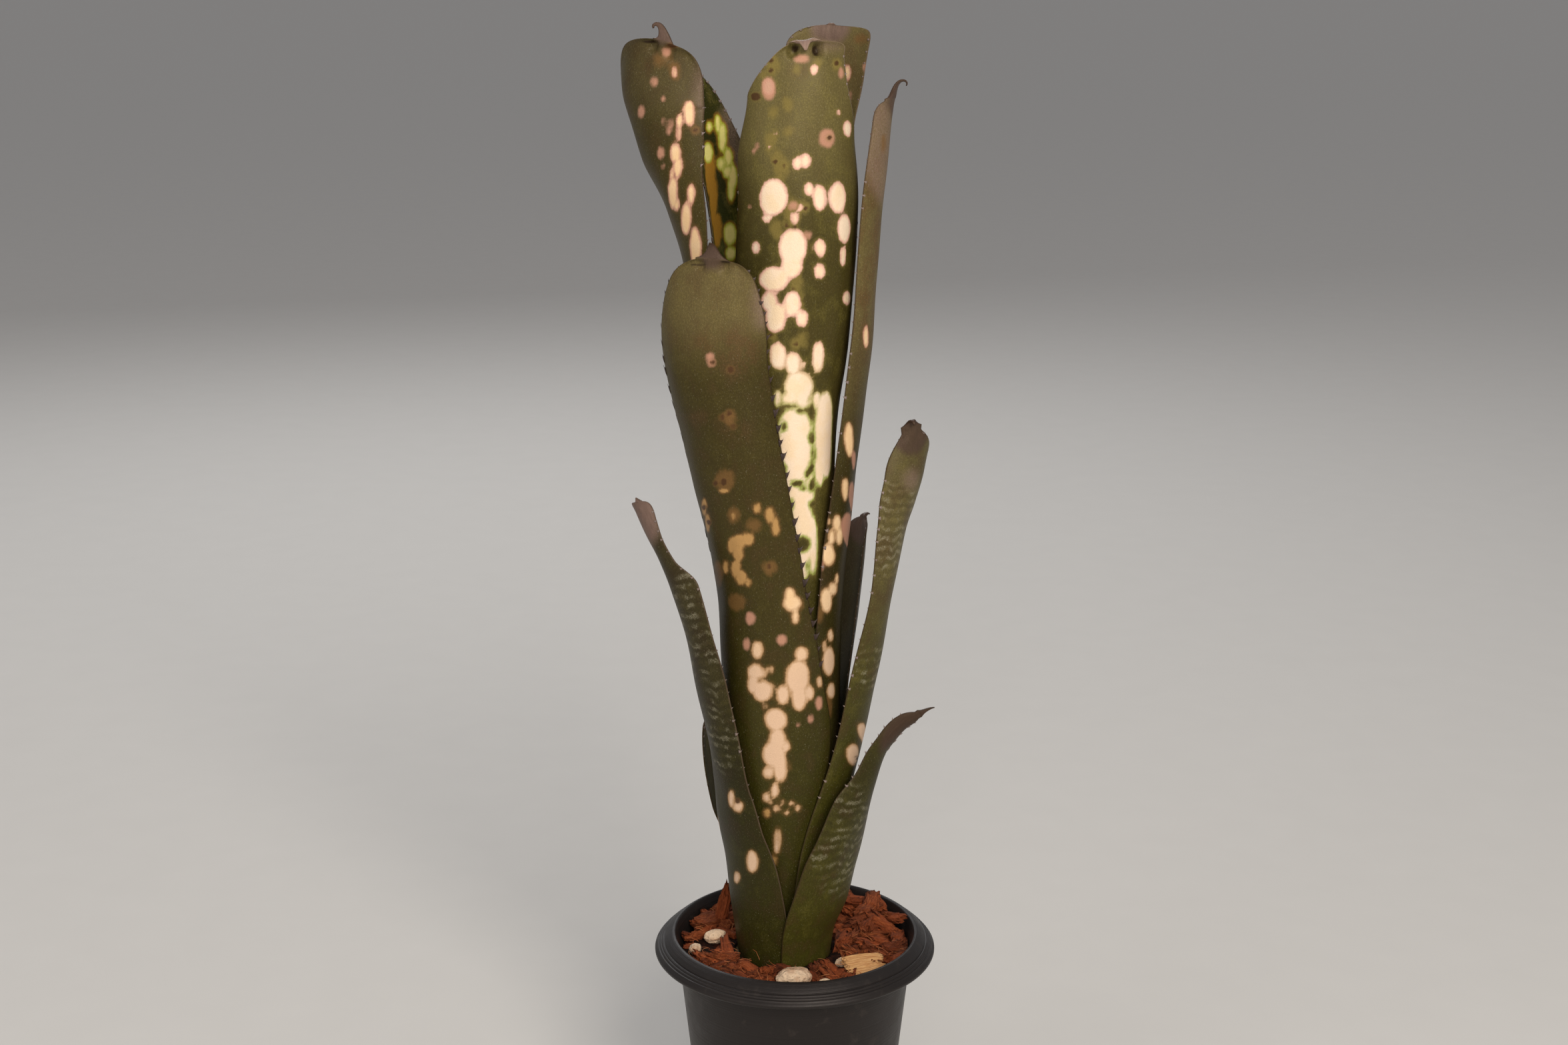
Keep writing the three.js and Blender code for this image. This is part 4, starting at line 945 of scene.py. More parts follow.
class Paint:
    """A material and the nodes that give it its look."""

    def __init__(self, name):
        self.material = bpy.data.materials.new(name)
        self.material.use_nodes = True
        self.nodes = self.material.node_tree.nodes
        self.links = self.material.node_tree.links
        self.shader = self.nodes["Principled BSDF"]

    def feed(self, socket, value):
        """Links a socket to another node's output, or gives it a fixed value."""
        if isinstance(value, NodeSocket):
            self.links.new(value, socket)
        elif socket.type == "RGBA":
            socket.default_value = (*value[:3], 1)
        else:
            socket.default_value = value

    def finish(self, **values):
        """Sets the shader's own sockets, each by its name in small letters."""
        for name, value in values.items():
            socket = next(s for s in self.shader.inputs if s.name.lower().replace(" ", "_") == name)
            self.feed(socket, value)

    def kept(self, name, output="Fac"):
        """What a mesh keeps under a name."""
        read = self.nodes.new("ShaderNodeAttribute")
        read.attribute_name = name
        return read.outputs[output]

    def own_place(self):
        return self.nodes.new("ShaderNodeTexCoord").outputs["Object"]

    def apart(self, place):
        """The three parts of a place."""
        split = self.nodes.new("ShaderNodeSeparateXYZ")
        self.feed(split.inputs[0], place)
        return split.outputs

    def joined(self, x, y, z=0.0):
        made = self.nodes.new("ShaderNodeCombineXYZ")
        for socket, value in zip(made.inputs, (x, y, z)):
            self.feed(socket, value)
        return made.outputs[0]

    def vector(self, operation, first, second):
        made = self.nodes.new("ShaderNodeVectorMath")
        made.operation = operation
        self.feed(made.inputs[0], first)
        self.feed(made.inputs["Scale" if operation == "SCALE" else 1], second)
        return made.outputs[0]

    def scaled(self, place, scale):
        """A place times one number, or times a number for each of its three parts."""
        return self.vector("MULTIPLY", place, scale if isinstance(scale, tuple) else (scale,) * 3)

    def noise(self, place, scale, detail=2.0, roughness=0.5):
        made = self.nodes.new("ShaderNodeTexNoise")
        self.feed(made.inputs["Vector"], self.scaled(place, scale))
        made.inputs["Scale"].default_value = 1.0
        made.inputs["Detail"].default_value = detail
        made.inputs["Roughness"].default_value = roughness
        return made.outputs["Fac"]

    def cells(self, place, scale):
        """Way to the middle of the nearest of many small cells."""
        made = self.nodes.new("ShaderNodeTexVoronoi")
        self.feed(made.inputs["Vector"], self.scaled(place, scale))
        made.inputs["Scale"].default_value = 1.0
        return made.outputs["Distance"]

    def math(self, operation, first, second=0.0, third=0.0):
        made = self.nodes.new("ShaderNodeMath")
        made.operation = operation
        for socket, value in zip(made.inputs, (first, second, third)):
            self.feed(socket, value)
        return made.outputs[0]

    def times(self, *values):
        product = values[0]
        for value in values[1:]:
            product = self.math("MULTIPLY", product, value)
        return product

    def rise(self, value, low, high, top=1.0):
        """0 at low and top at high, smoothly."""
        made = self.nodes.new("ShaderNodeMapRange")
        made.interpolation_type = "SMOOTHSTEP"
        self.feed(made.inputs["Value"], value)
        made.inputs["From Min"].default_value = low
        made.inputs["From Max"].default_value = high
        made.inputs["To Max"].default_value = top
        return made.outputs["Result"]

    def blend(self, share, under, over):
        made = self.nodes.new("ShaderNodeMix")
        made.data_type = "RGBA"
        self.feed(made.inputs["Factor"], share)
        under_socket, over_socket = [s for s in made.inputs if s.type == "RGBA"]
        self.feed(under_socket, under)
        self.feed(over_socket, over)
        return next(s for s in made.outputs if s.type == "RGBA")

    def shade(self, colour, share, low, high):
        """A colour times low where share is 0 and times high where it is 1."""
        return self.vector("SCALE", colour, self.math("MULTIPLY_ADD", share, high - low, low))

    def bump(self, height, distance, strength=1.0):
        made = self.nodes.new("ShaderNodeBump")
        made.inputs["Strength"].default_value = strength
        made.inputs["Distance"].default_value = distance
        self.feed(made.inputs["Height"], height)
        self.links.new(made.outputs["Normal"], self.shader.inputs["Normal"])


def skin_colour(paint, place, height, look):
    """Olive above, dark green below, partly painted light and shade; clouds, fine lengthwise rows, specks.
    """
    broad = paint.noise(place, (0.06, 0.03, 1), 3.0)
    patch = paint.noise(place, (0.16, 0.11, 1), 4.0, 0.6)
    grain = paint.noise(place, (1.8, 1.2, 1), 4.0, 0.65)
    lines = paint.noise(place, (2.6, 0.16, 1), 3.0, 0.6)
    # Partly painted light and shade: lighter near the tip, darker below it and darkest towards the base
    faded = paint.math("MULTIPLY_ADD", broad, 0.8, paint.math("SUBTRACT", paint.kept("leaf_fade"), 0.4))
    colour = paint.blend(paint.rise(faded, 0.0, 1.0), look["upper"], look["middle"])
    level = paint.math("MULTIPLY_ADD", broad, 70.0, height)
    colour = paint.blend(paint.rise(level, 275.0, 165.0), colour, look["lower"])
    colour = paint.blend(paint.rise(patch, 0.46, 0.66, look["flush"]), colour, SKIN_CLOUD)
    yellow = paint.times(paint.rise(patch, 0.52, 0.34, look["mottle"]), paint.rise(grain, 0.2, 0.6))
    colour = paint.blend(yellow, colour, SKIN_YELLOW)
    flush = paint.times(paint.rise(paint.kept("leaf_flush"), -3.5, 3.0, 0.6), paint.rise(patch, 0.35, 0.6))
    flush = paint.times(flush, paint.rise(grain, 0.25, 0.6))
    colour = paint.blend(flush, colour, SKIN_FLUSH)
    stipple = paint.rise(paint.cells(place, (2.2, 1.9, 1)), 0.6, 0.1)
    colour = paint.shade(colour, stipple, 0.9, 1.17)
    colour = paint.shade(colour, lines, 0.8, 1.2)
    colour = paint.shade(colour, grain, 0.66, 1.34)
    # Painted light and shade: the whole skin is scaled by each leaf's tone
    return paint.vector("SCALE", colour, paint.kept("leaf_tone")), grain, patch, stipple


def silver_scales(paint, colour, place, height, grain, settings):
    """Soft pale bands across the leaf, silver flecks where it has scales, and a thin bloom partly of
    painted sheen.
    """
    wander = paint.noise(place, (0.15, 0.05, 1), 3.0, 0.6)
    level = paint.times(paint.math("MULTIPLY_ADD", wander, 9.0, height), 1 / 3.3)
    off_band = paint.math("ABSOLUTE", paint.math("SUBTRACT", paint.math("FRACT", level), 0.5))
    broken = paint.noise(place, (0.22, 0.16, 1.7), 3.0, 0.6)
    flecks = paint.noise(place, (3.4, 2.0, 1.3), 3.0, 0.7)
    scales = paint.rise(paint.kept("leaf_scales"), -3.0, 2.5)
    band = paint.times(paint.rise(off_band, 0.36, 0.08), scales)
    colour = paint.shade(colour, band, 0.96, 1.2)
    silver = paint.times(band, paint.rise(broken, 0.44, 0.64, 0.6), paint.rise(flecks, 0.38, 0.62))
    colour = paint.blend(silver, colour, settings.silver)
    # Partly the lilac bloom of the skin and partly painted sheen, where the pale haze marks lie
    bloom_and_sheen = paint.times(paint.rise(paint.kept("leaf_haze"), -3.5, 2.5, 0.55), paint.rise(flecks, 0.1, 0.7))
    colour = paint.blend(bloom_and_sheen, colour, settings.bloom_and_sheen)
    dust = paint.times(paint.rise(flecks, 0.59, 0.71, 0.6), paint.rise(grain, 0.46, 0.6))
    return paint.blend(dust, colour, settings.silver)


def pale_marks(paint, colour, place, height, grain, patch, look, settings):
    """Cream marks with soft halos, amber and dim tan ones, pink ones, brown pits and painted shade in
    hollows.
    """
    ragged = paint.math("MULTIPLY_ADD", paint.noise(place, (0.5, 0.34, 1), 5.0, 0.62), 1.3, -0.65)
    cream = paint.math("ADD", paint.kept("leaf_cream"), ragged)
    amber = paint.math("MULTIPLY_ADD", ragged, 1.6, paint.kept("leaf_amber"))
    tan = paint.math("MULTIPLY_ADD", ragged, 2.2, paint.kept("leaf_tan"))
    blush = paint.math("ADD", paint.kept("leaf_blush"), ragged)
    rust = paint.math("MULTIPLY_ADD", ragged, 0.5, paint.kept("leaf_rust"))
    rim = paint.blend(paint.rise(height, 310.0, 270.0), look["rim"], look["low_rim"])
    tan_spot = paint.shade(look["tan"], grain, 0.75, 1.25)
    colour = paint.blend(paint.rise(tan, -1.4, 0.9, 0.75), colour, tan_spot)
    colour = paint.blend(paint.rise(amber, -1.0, 0.2, 0.7), colour, look["tan"])
    amber_spot = paint.shade(settings.amber[:], patch, 0.7, 1.3)
    colour = paint.blend(paint.rise(amber, -0.3, 0.8, 0.9), colour, amber_spot)
    colour = paint.blend(paint.rise(cream, -1.2, -0.1, 0.4), colour, look["tan"])
    middle = paint.blend(paint.rise(patch, 0.4, 0.62, 0.6), look["cream"], look["warm_cream"])
    # Partly painted shade: the cream turns darker lower down, for the light falling off towards the base,
    # and partly changes its own hue
    middle = paint.blend(paint.rise(height, 225.0, 185.0), middle, look["low_cream"])
    middle = paint.shade(middle, grain, 0.9, 1.08)
    spot = paint.blend(paint.rise(cream, 0.0, 1.3), rim, middle)
    colour = paint.blend(paint.rise(cream, -0.4, 0.3), colour, spot)
    colour = paint.blend(paint.rise(blush, -0.8, 0.8, 0.85), colour, settings.blush)
    colour = paint.blend(paint.rise(rust, -1.3, 0.0, 0.4), colour, look["tan"])
    colour = paint.blend(paint.rise(rust, -0.55, 0.15, 0.92), colour, settings.rust)
    # Painted shade: near black in the hollows beside the horn, under the rolled end
    return paint.blend(paint.rise(paint.kept("leaf_hollow"), -0.4, 0.7, 0.9), colour, settings.hollow_shade)


def leaf_paint(name, look, settings):
    """Skin of a leaf with its scales, marks, tip, horn and margin."""
    paint = Paint("leaf_" + name)
    place = paint.kept("leaf_place", "Vector")
    _, height, _ = paint.apart(place)
    colour, grain, patch, stipple = skin_colour(paint, place, height, look)
    colour = silver_scales(paint, colour, place, height, grain, settings)
    streaks = paint.noise(place, (1.4, 0.3, 1), 4.0, 0.6)
    purple = paint.blend(paint.kept("leaf_pale"), settings.purple, settings.bloom_and_sheen)
    purple = paint.shade(purple, streaks, 0.6, 1.4)
    tip = paint.math("MULTIPLY_ADD", patch, 1.6, paint.kept("leaf_tip"))
    tip = paint.rise(tip, -0.8, 3.0, 0.85)
    tip = paint.math("MAXIMUM", tip, paint.times(paint.kept("leaf_horn"), 0.95))
    colour = paint.blend(tip, colour, purple)
    colour = pale_marks(paint, colour, place, height, grain, patch, look, settings)
    pale = paint.times(paint.kept("leaf_pale"), paint.kept("leaf_pale"))
    edge = paint.blend(pale, DARK_MARGIN, PALE_MARGIN)
    colour = paint.blend(paint.rise(paint.kept("leaf_margin"), 0.45, 0.1, 0.6), colour, edge)
    paint.finish(
        base_color=colour, roughness=paint.math("MULTIPLY_ADD", grain, 0.24, 0.34),
        specular_ior_level=0.2, specular_tint=SKIN_GLOSS,
    )
    paint.bump(paint.math("ADD", stipple, grain), 0.00007, 0.5)
    return paint.material


def spine_paint(settings):
    """Horn of the spines: dark or pale, by leaf."""
    paint = Paint("spine_horn")
    grain = paint.noise(paint.own_place(), (900.0, 900.0, 900.0), 2.0)
    colour = paint.blend(paint.kept("leaf_tone"), settings.pale_spine, settings.dark_spine)
    paint.finish(base_color=paint.shade(colour, grain, 0.6, 1.5), roughness=0.45, specular_ior_level=0.3)
    return paint.material


class BROMELIAD_OT_leaves(Operator):
    """Build the eleven leaves with their marks and spines"""

    bl_idname = "bromeliad.leaves"
    bl_label = "Leaves"

    def execute(self, context):
        settings = context.scene.bromeliad_leaves
        skins = {name: leaf_paint(name, look, settings) for name, look in FINISHES.items()}
        horn = spine_paint(settings)
        for leaf in LEAVES:
            build_leaf(leaf, settings, [skins[leaf["finish"]], horn])
        return {"FINISHED"}


DRAIN_HOLES = 6
DRAIN_RADIUS = 4
DRAIN_RING = 21
POT_FLOOR = 1.8
FOOT_BEVEL = 1
SHOULDER = 79
RIM_EDGE = 81.2
POT_DUST = (0.07, 0.055, 0.045)
POT_GLOSS = (1.0, 0.92, 0.88)
# Share of the way down the rim, and height of the surface over the plain slope
RIM_RIDGES = [
    (0.0, -0.35), (0.04, -0.08), (0.1, 0.05), (0.3, 0.18), (0.5, 0.14), (0.56, 0.1), (0.58, -0.22),
    (0.61, -0.24), (0.64, 0.16), (0.7, 0.26), (0.75, 0.12), (0.765, -0.1), (0.78, 0.12), (0.83, 0.24),
    (0.88, 0.08), (0.9, -0.14), (0.92, 0.06), (0.96, 0.2), (1.0, 0.05),
]


def arc(centre, radius, start, end, count):
    """Points along an arc, from one angle to another."""
    angles = np.radians(np.linspace(start, end, count))
    return [(centre[0] + radius * math.cos(a), centre[1] + radius * math.sin(a)) for a in angles]


def pot_profile(settings):
    """Closed outline of the wall, as radius and height."""
    foot, shoulder = settings.foot_radius / MM, settings.shoulder_radius / MM
    rim, mouth = settings.rim_radius / MM, settings.mouth_radius / MM
    top, wall = settings.height / MM, settings.wall / MM
    neck = shoulder - wall
    high, low = np.array([mouth + 0.8, top]), np.array([rim - 1.0, RIM_EDGE + 1.9])
    down = unit(low - high)
    over = np.array([-down[1], down[0]])
    if over[1] < 0:
        over = -over
    share = np.linspace(0, 1, 70)
    ridge = np.interp(share, *np.array(RIM_RIDGES).T)
    slope = high + (low - high) * share[:, None] + over * ridge[:, None]
    rise = np.linspace(0, 1, 24)
    walls = [(foot + (shoulder - foot) * t, FOOT_BEVEL + (SHOULDER - FOOT_BEVEL) * t) for t in rise]
    under = [
        (shoulder + 0.5, SHOULDER + 0.35), (shoulder + 2.4, SHOULDER + 0.7), (rim - 1.9, RIM_EDGE - 0.9),
    ]
    lip = arc((rim - 1.1, RIM_EDGE + 0.55), 1.1, -80, 60, 9)
    inside = [
        (mouth + 0.35, top - 0.1), (mouth, top - 0.8), (neck + 0.4, RIM_EDGE - 0.5), (neck, SHOULDER - 2),
    ]
    floor = [(foot - wall, POT_FLOOR + FOOT_BEVEL), (foot - wall - FOOT_BEVEL, POT_FLOOR)]
    base = [(foot - FOOT_BEVEL, 0), (foot - 0.3, 0.3)]
    return base + walls + under + lip + slope[::-1].tolist() + inside + floor


def build_pot(settings, material):
    """The wall turned round its axis, with the drain holes cut."""
    profile = np.array(pot_profile(settings))
    radius, height = profile[:, :1], profile[:, 1:]
    sides = settings.sides
    turn = 2 * np.pi * np.arange(sides) / sides
    rings = [radius * np.cos(turn), radius * np.sin(turn), np.repeat(height, sides, 1)]
    points = np.stack(rings, -1).reshape(-1, 3)
    faces = ring_faces(len(profile), sides)
    faces.append(list(range(sides))[::-1])
    faces.append([(len(profile) - 1) * sides + k for k in range(sides)])
    made = make_object("pot_shell", points, faces, [material])
    drill_floor(made)
    seat(made, "pot")


def drill_floor(made):
    """Cuts the drain holes."""
    tool = bmesh.new()
    for i in range(DRAIN_HOLES):
        angle = 2 * math.pi * i / DRAIN_HOLES
        place = Vector((DRAIN_RING * math.cos(angle), DRAIN_RING * math.sin(angle), POT_FLOOR / 2)) * MM
        bmesh.ops.create_cone(
            tool, cap_ends=True, segments=32, radius1=DRAIN_RADIUS * MM, radius2=DRAIN_RADIUS * MM,
            depth=4 * POT_FLOOR * MM, matrix=Matrix.Translation(place),
        )
    drill = bpy.data.meshes.new("drill")
    tool.to_mesh(drill)
    tool.free()
    cutter = bpy.data.objects.new("drill", drill)
    bpy.context.scene.collection.objects.link(cutter)
    cut = made.modifiers.new("drain holes", "BOOLEAN")
    cut.operation = "DIFFERENCE"
    cut.solver = "EXACT"
    cut.object = cutter
    settle_modifiers(made)
    bpy.data.objects.remove(cutter)


def settle_modifiers(made):
    """Keeps the mesh that the modifiers give."""
    graph = bpy.context.evaluated_depsgraph_get()
    mesh = bpy.data.meshes.new_from_object(made.evaluated_get(graph))
    made.modifiers.clear()
    made.data = mesh


def plastic_paint(settings):
    """Dark plastic with turning marks and a little dust."""
    paint = Paint("pot_plastic")
    place = paint.own_place()
    x, y, z = paint.apart(place)
    flat = paint.math("SQRT", paint.math("ADD", paint.math("MULTIPLY", x, x), paint.math("MULTIPLY", y, y)))
    turned = paint.noise(paint.joined(flat, z), (2600.0, 1400.0, 1.0), 3.0, 0.65)
    dust = paint.noise(place, 160.0, 5.0, 0.65)
    scuff = paint.noise(place, 1500.0, 3.0, 0.6)
    colour = paint.shade(settings.plastic[:], turned, 0.7, 1.4)
    colour = paint.blend(paint.rise(dust, 0.56, 0.74, 0.22), colour, POT_DUST)
    paint.finish(
        base_color=colour, roughness=paint.math("MULTIPLY_ADD", dust, 0.3, 0.3),
        specular_ior_level=0.3, specular_tint=POT_GLOSS,
    )
    paint.bump(paint.math("MULTIPLY_ADD", scuff, 0.4, turned), 0.00015, 0.7)
    return paint.material


class BROMELIAD_OT_pot(Operator):
    """Build the pot with its ridged rim and drain holes"""

    bl_idname = "bromeliad.pot"
    bl_label = "Pot"

    def execute(self, context):
        settings = context.scene.bromeliad_pot
        build_pot(settings, plastic_paint(settings))
        return {"FINISHED"}


MIX_SEED = 11
MIX_TOP = 80.6
SURFACE = 81
MIX_FOOT = 2.1
WELL_RADIUS = 18.9
WELL_FLOOR = 42
STEM_TOP = 78
COLLAR_RADIUS = 17.4
CLEARANCE = 0.35
TUBE_TOP = 199
OUTER_LAYER = 10.6
SKIN_ALLOWANCE = 0.6
POT_INSIDE = [(0, 31.6), (SHOULDER, 40.2), (RIM_EDGE, 40.6), (88, 42.4), (200, 70)]
RICH_CHIPS = 85
CHIP_HALVES = ((3, 8), (1.5, 3.4), (0.9, 2))
CHIP_RING = (17, 39)
CHIP_FREE = 19.5
FIBRE_RING = (20, 38.5)
PEBBLES = [
    {"name": "pebble_1", "at": (-0.5, -31), "half": (6.6, 4.6, 3.6), "turn": 8},
    {"name": "pebble_2", "at": (-28.5, 4), "half": (4.4, 3.4, 2.6), "turn": 30},
    {"name": "pebble_3", "at": (10.5, -31.5), "half": (2.4, 2, 1.7), "turn": 0},
    {"name": "pebble_4", "at": (16.5, -15.5), "half": (2.6, 2.1, 1.7), "turn": 40},
    {"name": "pebble_5", "at": (-35.5, -5), "half": (2.8, 2.3, 1.9), "turn": 70},
]
PEBBLE_SEAT = SURFACE - 0.8
WOOD = {"at": (24.5, -21.5), "half": (7, 4.6, 1.3), "turn": 24, "tilt": 32, "lift": 2.2}
SHARD = {"at": (-26, 18), "half": (2.2, 1.5, 8), "lean": 11}
PILE = (24, 20)
DRY_THREAD = (0.56, 0.19, 0.06)
DEEP_CRUMB = (0.01, 0.004, 0.002)
PUMICE_STAIN = (0.46, 0.27, 0.16)
PUMICE_CHALK = (0.85, 0.74, 0.6)
PUMICE_PIT = (0.12, 0.06, 0.035)
WOOD_STREAK = (0.42, 0.18, 0.06)
WOOD_THREAD = (0.82, 0.6, 0.33)
STEM_DARK = (0.09, 0.05, 0.02)
STEM_PALE = (0.26, 0.2, 0.09)


def pot_inside(height):
    """Inner radius of the pot."""
    return np.interp(height, *np.array(POT_INSIDE).T)


def tube_outside(height):
    """Radius of the tube of leaves over the mix."""
    core = through(TUBE_CORE, np.clip(height, LEAF_FOOT, TUBE_TOP))
    return core + OUTER_LAYER * LAYER_PITCH + SKIN_ALLOWANCE


def keep_clear(points):
    """Pushes points out of the tube of leaves and in from the pot's wall."""
    points = points.copy()
    from_plant = points[:, :2] - np.array([PLANT_X, 0])
    reach = np.linalg.norm(from_plant, axis=1)
    least = tube_outside(points[:, 2]) + CLEARANCE
    push = np.maximum(least / np.maximum(reach, 1e-6), 1)
    points[:, :2] = np.array([PLANT_X, 0]) + from_plant * push[:, None]
    reach = np.linalg.norm(points[:, :2], axis=1)
    most = pot_inside(points[:, 2]) - CLEARANCE
    points[:, :2] *= np.minimum(most / np.maximum(reach, 1e-6), 1)[:, None]
    return points


def turned(points, x=0.0, y=0.0, z=0.0):
    """Points turned about X, then Y, then Z, in radians."""
    matrix = Matrix.Rotation(z, 3, "Z") @ Matrix.Rotation(y, 3, "Y") @ Matrix.Rotation(x, 3, "X")
    return points @ np.array(matrix).T


def ball(detail):
    """Points and faces of an even ball of radius 1."""
    made = bmesh.new()
    bmesh.ops.create_icosphere(made, subdivisions=detail, radius=1)
    points = np.array([v.co for v in made.verts])
    faces = [[v.index for v in face.verts] for face in made.faces]
    made.free()
    return points, faces


def wobble(points, size, seed):
    """Smooth random number for each point, from -1 to 1."""
    shift = Vector((seed * 3.1, seed * 1.7, seed * 0.9))
    return np.array([noise.fractal(Vector(p) / size + shift, 1.0, 2.0, 3) for p in points])


def chip_shape(points, half, random):
    """A torn block of husk: a boxy ball with fibrous ridges along it and ragged ends."""
    boxy = np.sign(points) * np.abs(points) ** 0.62
    seed = random.uniform(0, 100)
    rough = wobble(points * np.array([0.7, 2.2, 2.2]), 1.0, seed)
    along = wobble(points * np.array([0.35, 3.6, 3.6]), 1.0, seed + 7)
    ridges = np.abs(wobble(points * np.array([0.5, 8.0, 8.0]), 1.0, seed + 13))
    ends = np.abs(points[:, 0]) ** 3 * (along + 1.6 * (0.25 - ridges))
    shaped = boxy * (1 + 0.3 * rough + 0.18 * along - 0.34 * ridges)[:, None]
    shaped[:, 0] += 0.4 * ends * np.sign(points[:, 0])
    bow = random.uniform(-0.25, 0.25)
    shaped[:, 2] += bow * (points[:, 0] ** 2 - 0.5) * half[0] / half[2] * 0.4
    return shaped * half


def place_in_ring(ring, random):
    """A random place between two radii, evenly over the ground."""
    angle = random.uniform(0, 2 * math.pi)
    radius = math.sqrt(random.uniform(ring[0] ** 2, ring[1] ** 2))
    return radius * math.cos(angle), radius * math.sin(angle)


def chip_places(settings, random):
    """Place, sizes and turns of each chip, low and flatter ones first."""
    loose = [(p["at"], p["half"][0]) for p in PEBBLES] + [(WOOD["at"], 6.5)]
    placed = []
    while len(placed) < settings.chips:
        x, y = place_in_ring(CHIP_RING, random)
        half = np.array([random.uniform(low, high) for low, high in CHIP_HALVES])
        if math.hypot(x - PLANT_X, y) < CHIP_FREE + 0.5 * half[1]:
            continue
        layer = len(placed) / settings.chips
        pile = math.exp(-((x - PILE[0]) ** 2 + (y - PILE[1]) ** 2) / 14**2)
        back = smoothstep(np.float64(y), 2, 24)
        height = MIX_TOP - 0.6 + layer * (1.6 + 2.2 * back + 6.5 * pile) + random.uniform(-0.5, 0.5)
        clear = all(math.hypot(x - at[0], y - at[1]) > reach + 0.45 * half[0] for at, reach in loose)
        if not clear:
            if layer > 0.3:
                continue
            height = MIX_TOP - 2.2
        tilt = 12 + 26 * layer
        turns = [random.uniform(-tilt, tilt), random.uniform(-tilt, tilt), random.uniform(0, 360)]
        placed.append((np.array([x, y, height]), half, np.radians(turns)))
    return placed


def crust():
    """The packed mix under the chips: a plug with a well for the stem."""
    around = 120
    turn = 2 * np.pi * np.arange(around) / around
    circle = np.stack([np.cos(turn), np.sin(turn)], -1)
    rows = []

    def row(inner_radius, share, height, rough=0.0):
        inner = circle * inner_radius + np.array([PLANT_X, 0])
        outer = circle * (pot_inside(height) - CLEARANCE)
        flat = inner * (1 - share) + outer * share
        level = np.full((around, 1), float(height))
        if rough:
            level[:, 0] += rough * wobble(np.concatenate([flat, level], 1), 5.0, 3.0)
        rows.append(np.concatenate([flat, level], 1))

    row(WELL_RADIUS, 0.35, MIX_FOOT)
    row(WELL_RADIUS, 1, MIX_FOOT)
    row(WELL_RADIUS, 1, MIX_TOP - 0.8)
    for share in np.linspace(0.98, 0.02, 16):
        row(COLLAR_RADIUS, share, MIX_TOP, 1.1)
    row(COLLAR_RADIUS, 0, MIX_TOP - 0.6)
    row(COLLAR_RADIUS, 0, STEM_TOP + 0.7)
    row(WELL_RADIUS, 0, STEM_TOP + 0.5)
    row(WELL_RADIUS, 0, WELL_FLOOR)
    points = np.concatenate(rows)
    faces = ring_faces(len(rows), around)
    faces.append(list(range(around))[::-1])
    faces.append([(len(rows) - 1) * around + k for k in range(around)])
    return points, faces


def fibres(count, random):
    """Thin bent threads lying in the mix: points and faces."""
    around, steps = 4, 7
    points, faces = [], []
    for _ in range(count):
        at = np.array([*place_in_ring(FIBRE_RING, random), MIX_TOP + random.uniform(1, 4.5)])
        heading = random.uniform(0, 2 * math.pi)
        climb = random.uniform(-0.25, 0.75)
        length = random.uniform(2, 7)
        curl = random.uniform(-2, 2)
        line = []
        for _ in range(steps):
            line.append(at.copy())
            heading += curl / steps
            climb -= random.uniform(0, 0.12)
            way = np.array([math.cos(heading), math.sin(heading), climb])
            at += way / np.linalg.norm(way) * length / steps
        line = keep_clear(np.array(line))
        thick = random.uniform(0.06, 0.13) * (1 - 0.75 * (np.arange(steps) / steps) ** 2)
        tangent = unit(np.gradient(line, axis=0))
        side = unit(np.cross(tangent, np.array([0.1, 0.2, 1.0])))
        over = np.cross(side, tangent)
        turn = 2 * np.pi * np.arange(around) / around
        rings = line[:, None] + thick[:, None, None] * (
            np.cos(turn)[:, None] * side[:, None] + np.sin(turn)[:, None] * over[:, None]
        )
        start = len(points) * steps * around
        points.append(rings.reshape(-1, 3))
        one = ring_faces(steps, around) + [[3, 2, 1, 0], [(steps - 1) * around + k for k in range(around)]]
        faces += [[k + start for k in face] for face in one]
    return np.concatenate(points), faces


def build_mix(settings):
    """Packed mix, chips and fibres as one piece."""
    random = np.random.default_rng(MIX_SEED)
    points, faces = crust()
    parts, kinds = [points], [0] * len(faces)
    tone, grain = [np.zeros((len(points), 3))], [np.zeros((len(points), 3))]

    def add(new_points, new_faces, kind, new_tone=(0, 0, 0), own_place=None):
        start = sum(len(part) for part in parts)
        faces.extend([[k + start for k in face] for face in new_faces])
        kinds.extend([kind] * len(new_faces))
        parts.append(new_points)
        tone.append(np.repeat([new_tone], len(new_points), 0))
        grain.append(np.zeros((len(new_points), 3)) if own_place is None else own_place)

    plain, rich = ball(3), ball(4)
    places = chip_places(settings, random)
    for index, (at, half, turns) in enumerate(places):
        shape, shape_faces = rich if index > len(places) - RICH_CHIPS else plain
        chip = chip_shape(shape, half, random)
        own_tone = (random.uniform(0, 1), random.uniform(0, 1), turns[2])
        add(keep_clear(turned(chip, *turns) + at), shape_faces, 1, own_tone, chip + 20 * index)
    shape, shape_faces = rich
    shard = chip_shape(shape, np.array(SHARD["half"])[[2, 0, 1]], random)
    upright = turned(shard[:, [1, 2, 0]], y=math.radians(SHARD["lean"]))
    upright += np.array([*SHARD["at"], SURFACE + SHARD["half"][2] - 1])
    add(keep_clear(upright), shape_faces, 1, (0.8, 0.5, 0.0), shard)
    add(*fibres(settings.fibres, random), 2)
    made = make_object(
        "bark_mix", np.concatenate(parts), faces,
        [crumb_paint(settings), husk_paint(settings), fibre_paint(settings)], kinds,
    )
    store(made, "chip_tone", np.concatenate(tone))
    store(made, "chip_grain", np.concatenate(grain))
    seat(made, "potting_mix")


